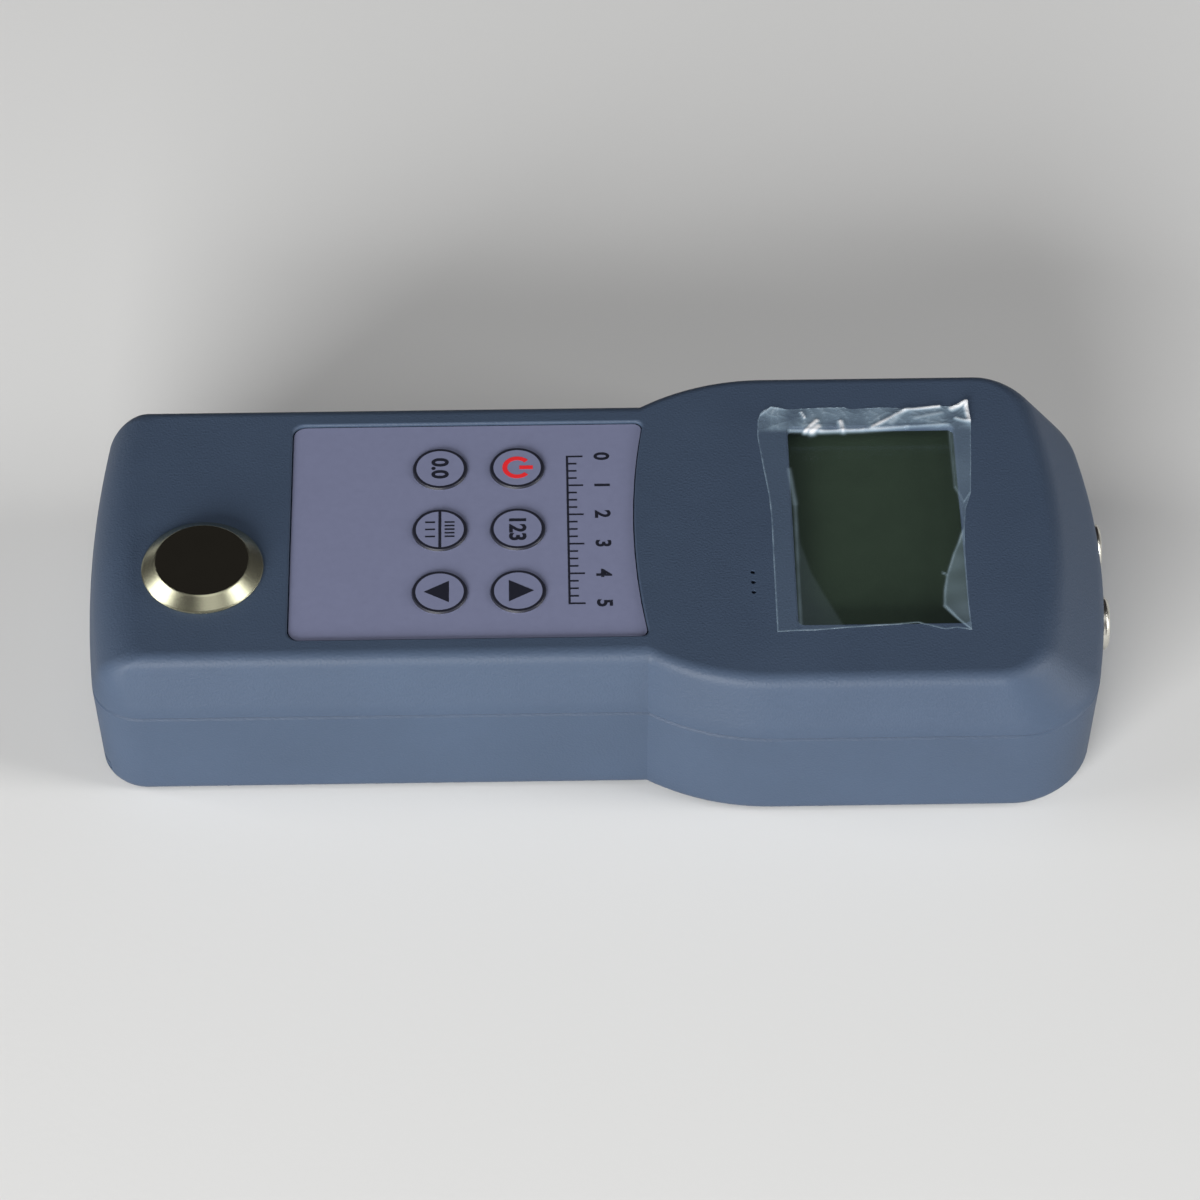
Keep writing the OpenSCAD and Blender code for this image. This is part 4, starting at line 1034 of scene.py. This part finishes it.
clearFilm = clearFinish("clearFilm", {
    "colour": (0.62, 0.84, 1.0), "white": (0.95, 0.97, 1.0), "haze": (0.10, 0.45), "driftScale": 320.0,
    "roughness": (0.14, 0.24), "waveDepth": 0.05, "ior": 1.5,
})


def segmentDistance(points, start, end):  # distance of every point to a straight stretch
    start, end = np.asarray(start, float), np.asarray(end, float)
    run = end - start
    share = np.clip((points - start) @ run / (run @ run), 0, 1)
    return np.linalg.norm(points - start - share[..., None] * run, axis=-1)


def softNoise(points, size, seed):  # sine waves in seeded directions, added up, between -1 and 1
    form = noiseForm
    source = np.random.default_rng(seed)
    turn = source.uniform(0, 2 * math.pi, form["waves"])
    rate = source.uniform(*form["rates"], form["waves"])
    shift = source.uniform(0, form["shift"], form["waves"])
    x, y = points[..., :1], points[..., 1:2]
    waves = np.sin((x * np.cos(turn) + y * np.sin(turn)) * rate * form["pace"] / size + shift)
    return np.clip(waves.sum(axis=-1) / form["spread"], -1, 1)


def alongEdge(corners, share):  # points at given shares of a broken line's length
    corners = np.asarray(corners, float)
    length = np.hstack([0, np.cumsum(np.linalg.norm(np.diff(corners, axis=0), axis=1))])
    return np.column_stack([np.interp(share, length / length[-1], corners[:, k]) for k in (0, 1)])


def filmHaze(flat):
    # how milky the film is at each point, with painted sheen, painted glints, painted highlights and a
    # painted reflection added in as whiteness, and how far it stands up there: plain film, then the crumpled
    # far band, the doubled right side and its flap, the left side, the loose part, the folds and the torn
    # edges
    form = filmForm
    x, y = flat[..., 0], flat[..., 1]
    cloud = 0.5 + 0.5 * softNoise(flat, *form["cloud"])
    ridges = [(1 - np.abs(softNoise(flat, size, seed))) ** power for size, seed, power in form["ridges"]]
    ridge = np.max(ridges, axis=0)
    mottle = {part: even + gain * cloud for part, (even, gain) in form["mottle"].items()}
    haze = np.full(x.shape, form["plainHaze"])
    height = form["cloudRise"] * cloud
    # the crumpled far band: its whiteness is painted sheen, and its ridges carry painted glints
    band = ease((y - form["bandStart"]) / (form["bandEnd"] - form["bandStart"]))
    haze += band * (form["bandPaintedSheen"] * mottle["band"] + form["ridgePaintedGlint"] * ridge * cloud)
    height += form["bandRise"] * band * (cloud + ridge) / 2
    milkyFrom = np.interp(y, *np.array(form["flap"]).T)
    flap = ease((form["flapStart"] - y) / form["flapFade"])
    milky = ease((x - milkyFrom) / form["milkyFade"])
    grey = form["flapHaze"] * flap + form["stripHaze"] * (1 - flap)
    haze += milky * grey * mottle["milky"] * (1 - band)
    # a painted highlight along the line where the flap is folded over
    rim = np.exp(-((x - milkyFrom - form["rimInset"]) / form["rimWidth"]) ** 2) * flap
    haze += form["flapPaintedHighlight"] * rim * mottle["rim"]
    height += form["flapRise"] * milky * flap * np.clip((form["flapHinge"] - x) / form["flapSlope"], 0, 1)
    haze += form["leftHaze"] * ease((form["leftEnd"] - x) / form["leftFade"])
    # where the film has come off the lens it is painted greyer, a painted reflection
    looseTo = np.interp(y, *np.array(form["loose"]).T)
    loose = ease((looseTo - x) / form["looseFade"]) * ease((x - form["looseStart"]) / form["looseStartFade"])
    haze += form["loosePaintedReflection"] * loose * ease((form["looseTop"] - y) / form["looseTopFade"])
    # each fold rises for real, and its glint is painted in as whiteness
    for start, end, width, paintedGlint in form["folds"]:
        near = np.exp(-(segmentDistance(flat, start, end) / width) ** 2)
        haze = np.maximum(haze, paintedGlint * near * mottle["fold"])
        height += form["foldRise"] * paintedGlint * near
    # painted highlights along the film's cut edges
    for side, paintedGlint in form["paintedEdgeGlint"].items():
        corners = form[side]
        away = np.min([segmentDistance(flat, a, b) for a, b in zip(corners[:-1], corners[1:])], axis=0)
        near = np.exp(-(away / form["edgeWidth"]) ** 2)
        haze = np.maximum(haze, paintedGlint * near * (mottle["edge"] + form["edgeRidge"] * ridge))
    return np.clip(haze, 0, form["mostHaze"]), height


def addFilm():
    # a sheet spanned by its four edges: both pairs are blended across, and the blend of the corners comes off
    form = filmForm
    u, v = (0.5 - 0.5 * np.cos(np.linspace(0, math.pi, form[way])) for way in ("across", "along"))
    near, far = alongEdge(form["near"], u)[None], alongEdge(form["far"], u)[None]
    left, right = alongEdge(form["left"], v)[:, None], alongEdge(form["right"], v)[:, None]
    u, v = u[None, :, None], v[:, None, None]
    ends = (1 - v) * ((1 - u) * near[:, :1] + u * near[:, -1:]) + v * ((1 - u) * far[:, :1] + u * far[:, -1:])
    flat = (1 - v) * near + v * far + (1 - u) * left + u * right - ends
    haze, height = filmHaze(flat)
    points = np.dstack([flat + lensMiddle, faceZ + form["lift"] + height])
    mesh = meshFrom("film", points, gridQuads(*flat.shape[:2], wrapCols=False).tolist(), closed=False)
    setAttribute(mesh, "haze", (1 - np.sqrt(1 - haze)).ravel())  # light passes two skins of the film
    film = addPiece("displayFilm", mesh, clearFilm, "case", ("window_film",), sharp=60)
    solid = film.modifiers.new("thickness", "SOLIDIFY")
    solid.thickness = form["thickness"] * mm
    solid.offset = 1


addFilm()
print("film made")


# floor: a pale plane under the gauge, part of the studio and not of the gauge
def addFloor():
    corners = studio["floorSize"] / mm / 2 * np.array([[-1, -1, 0], [1, -1, 0], [1, 1, 0], [-1, 1, 0]])
    mesh = meshFrom("floor", corners, [[0, 1, 2, 3]], closed=False)
    mesh.materials.append(grainedFinish("paleFloor", {
        **shade(studio["floorColour"], 0.01), "driftScale": 3.0, "grainScale": 900.0, "grainDepth": 0.01,
        "roughness": (0.7, 0.8),
    }))
    floor = bpy.data.objects.new("floor", mesh)
    scene.collection.objects.link(floor)


addFloor()
print("floor laid")

# finishes of the solids that are shown as they are
clearLens = clearFinish("clearLens", {
    "colour": (0.03, 0.04, 0.04), "driftScale": 90.0, "roughness": (0.03, 0.06), "waveDepth": 0.01,
    "ior": 1.49, "alpha": 0.05,
})
slotLooks = {
    "display_glass": plainLook((0.031, 0.049, 0.031), (0.10, 0.16), 1500.0, 0.002, share=0.12),
    "white_plastic": plainLook((0.74, 0.74, 0.70), (0.40, 0.50)),
    "black_plastic": plainLook((0.018, 0.018, 0.020), (0.38, 0.50)),
    "contact_rubber": plainLook((0.42, 0.16, 0.19), (0.60, 0.75)),
    "nickel": plainLook((0.74, 0.72, 0.66), (0.16, 0.26), 3000.0, 0.002, 1.0),
    "brass": plainLook((0.78, 0.60, 0.27), (0.18, 0.28), 3000.0, 0.002, 1.0),
    "board_laminate": plainLook((0.016, 0.12, 0.045), (0.30, 0.42), 1800.0, 0.006),
    "tinned_steel": plainLook((0.62, 0.62, 0.60), (0.24, 0.36), 3000.0, 0.003, 1.0),
    "ferrite": plainLook((0.045, 0.040, 0.036), (0.50, 0.65)),
    "lead_sleeve": plainLook((0.10, 0.022, 0.022), (0.42, 0.55)),
}
slotFinish = {slot: grainedFinish(slot + "_finish", look) for slot, look in slotLooks.items()}
slotFinish.update(case_plastic=casePlastic, keypad_film=overlayFilm, key_film=keyFilm, clear_lens=clearLens,
                  clear_film=clearFilm, polished_steel=steelDisc, cell_sleeve=cellSleeve)
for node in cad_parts.values():
    for place in node.material_slots:
        place.material = slotFinish[place.material.name.split(".")[0]]
print("solids finished")
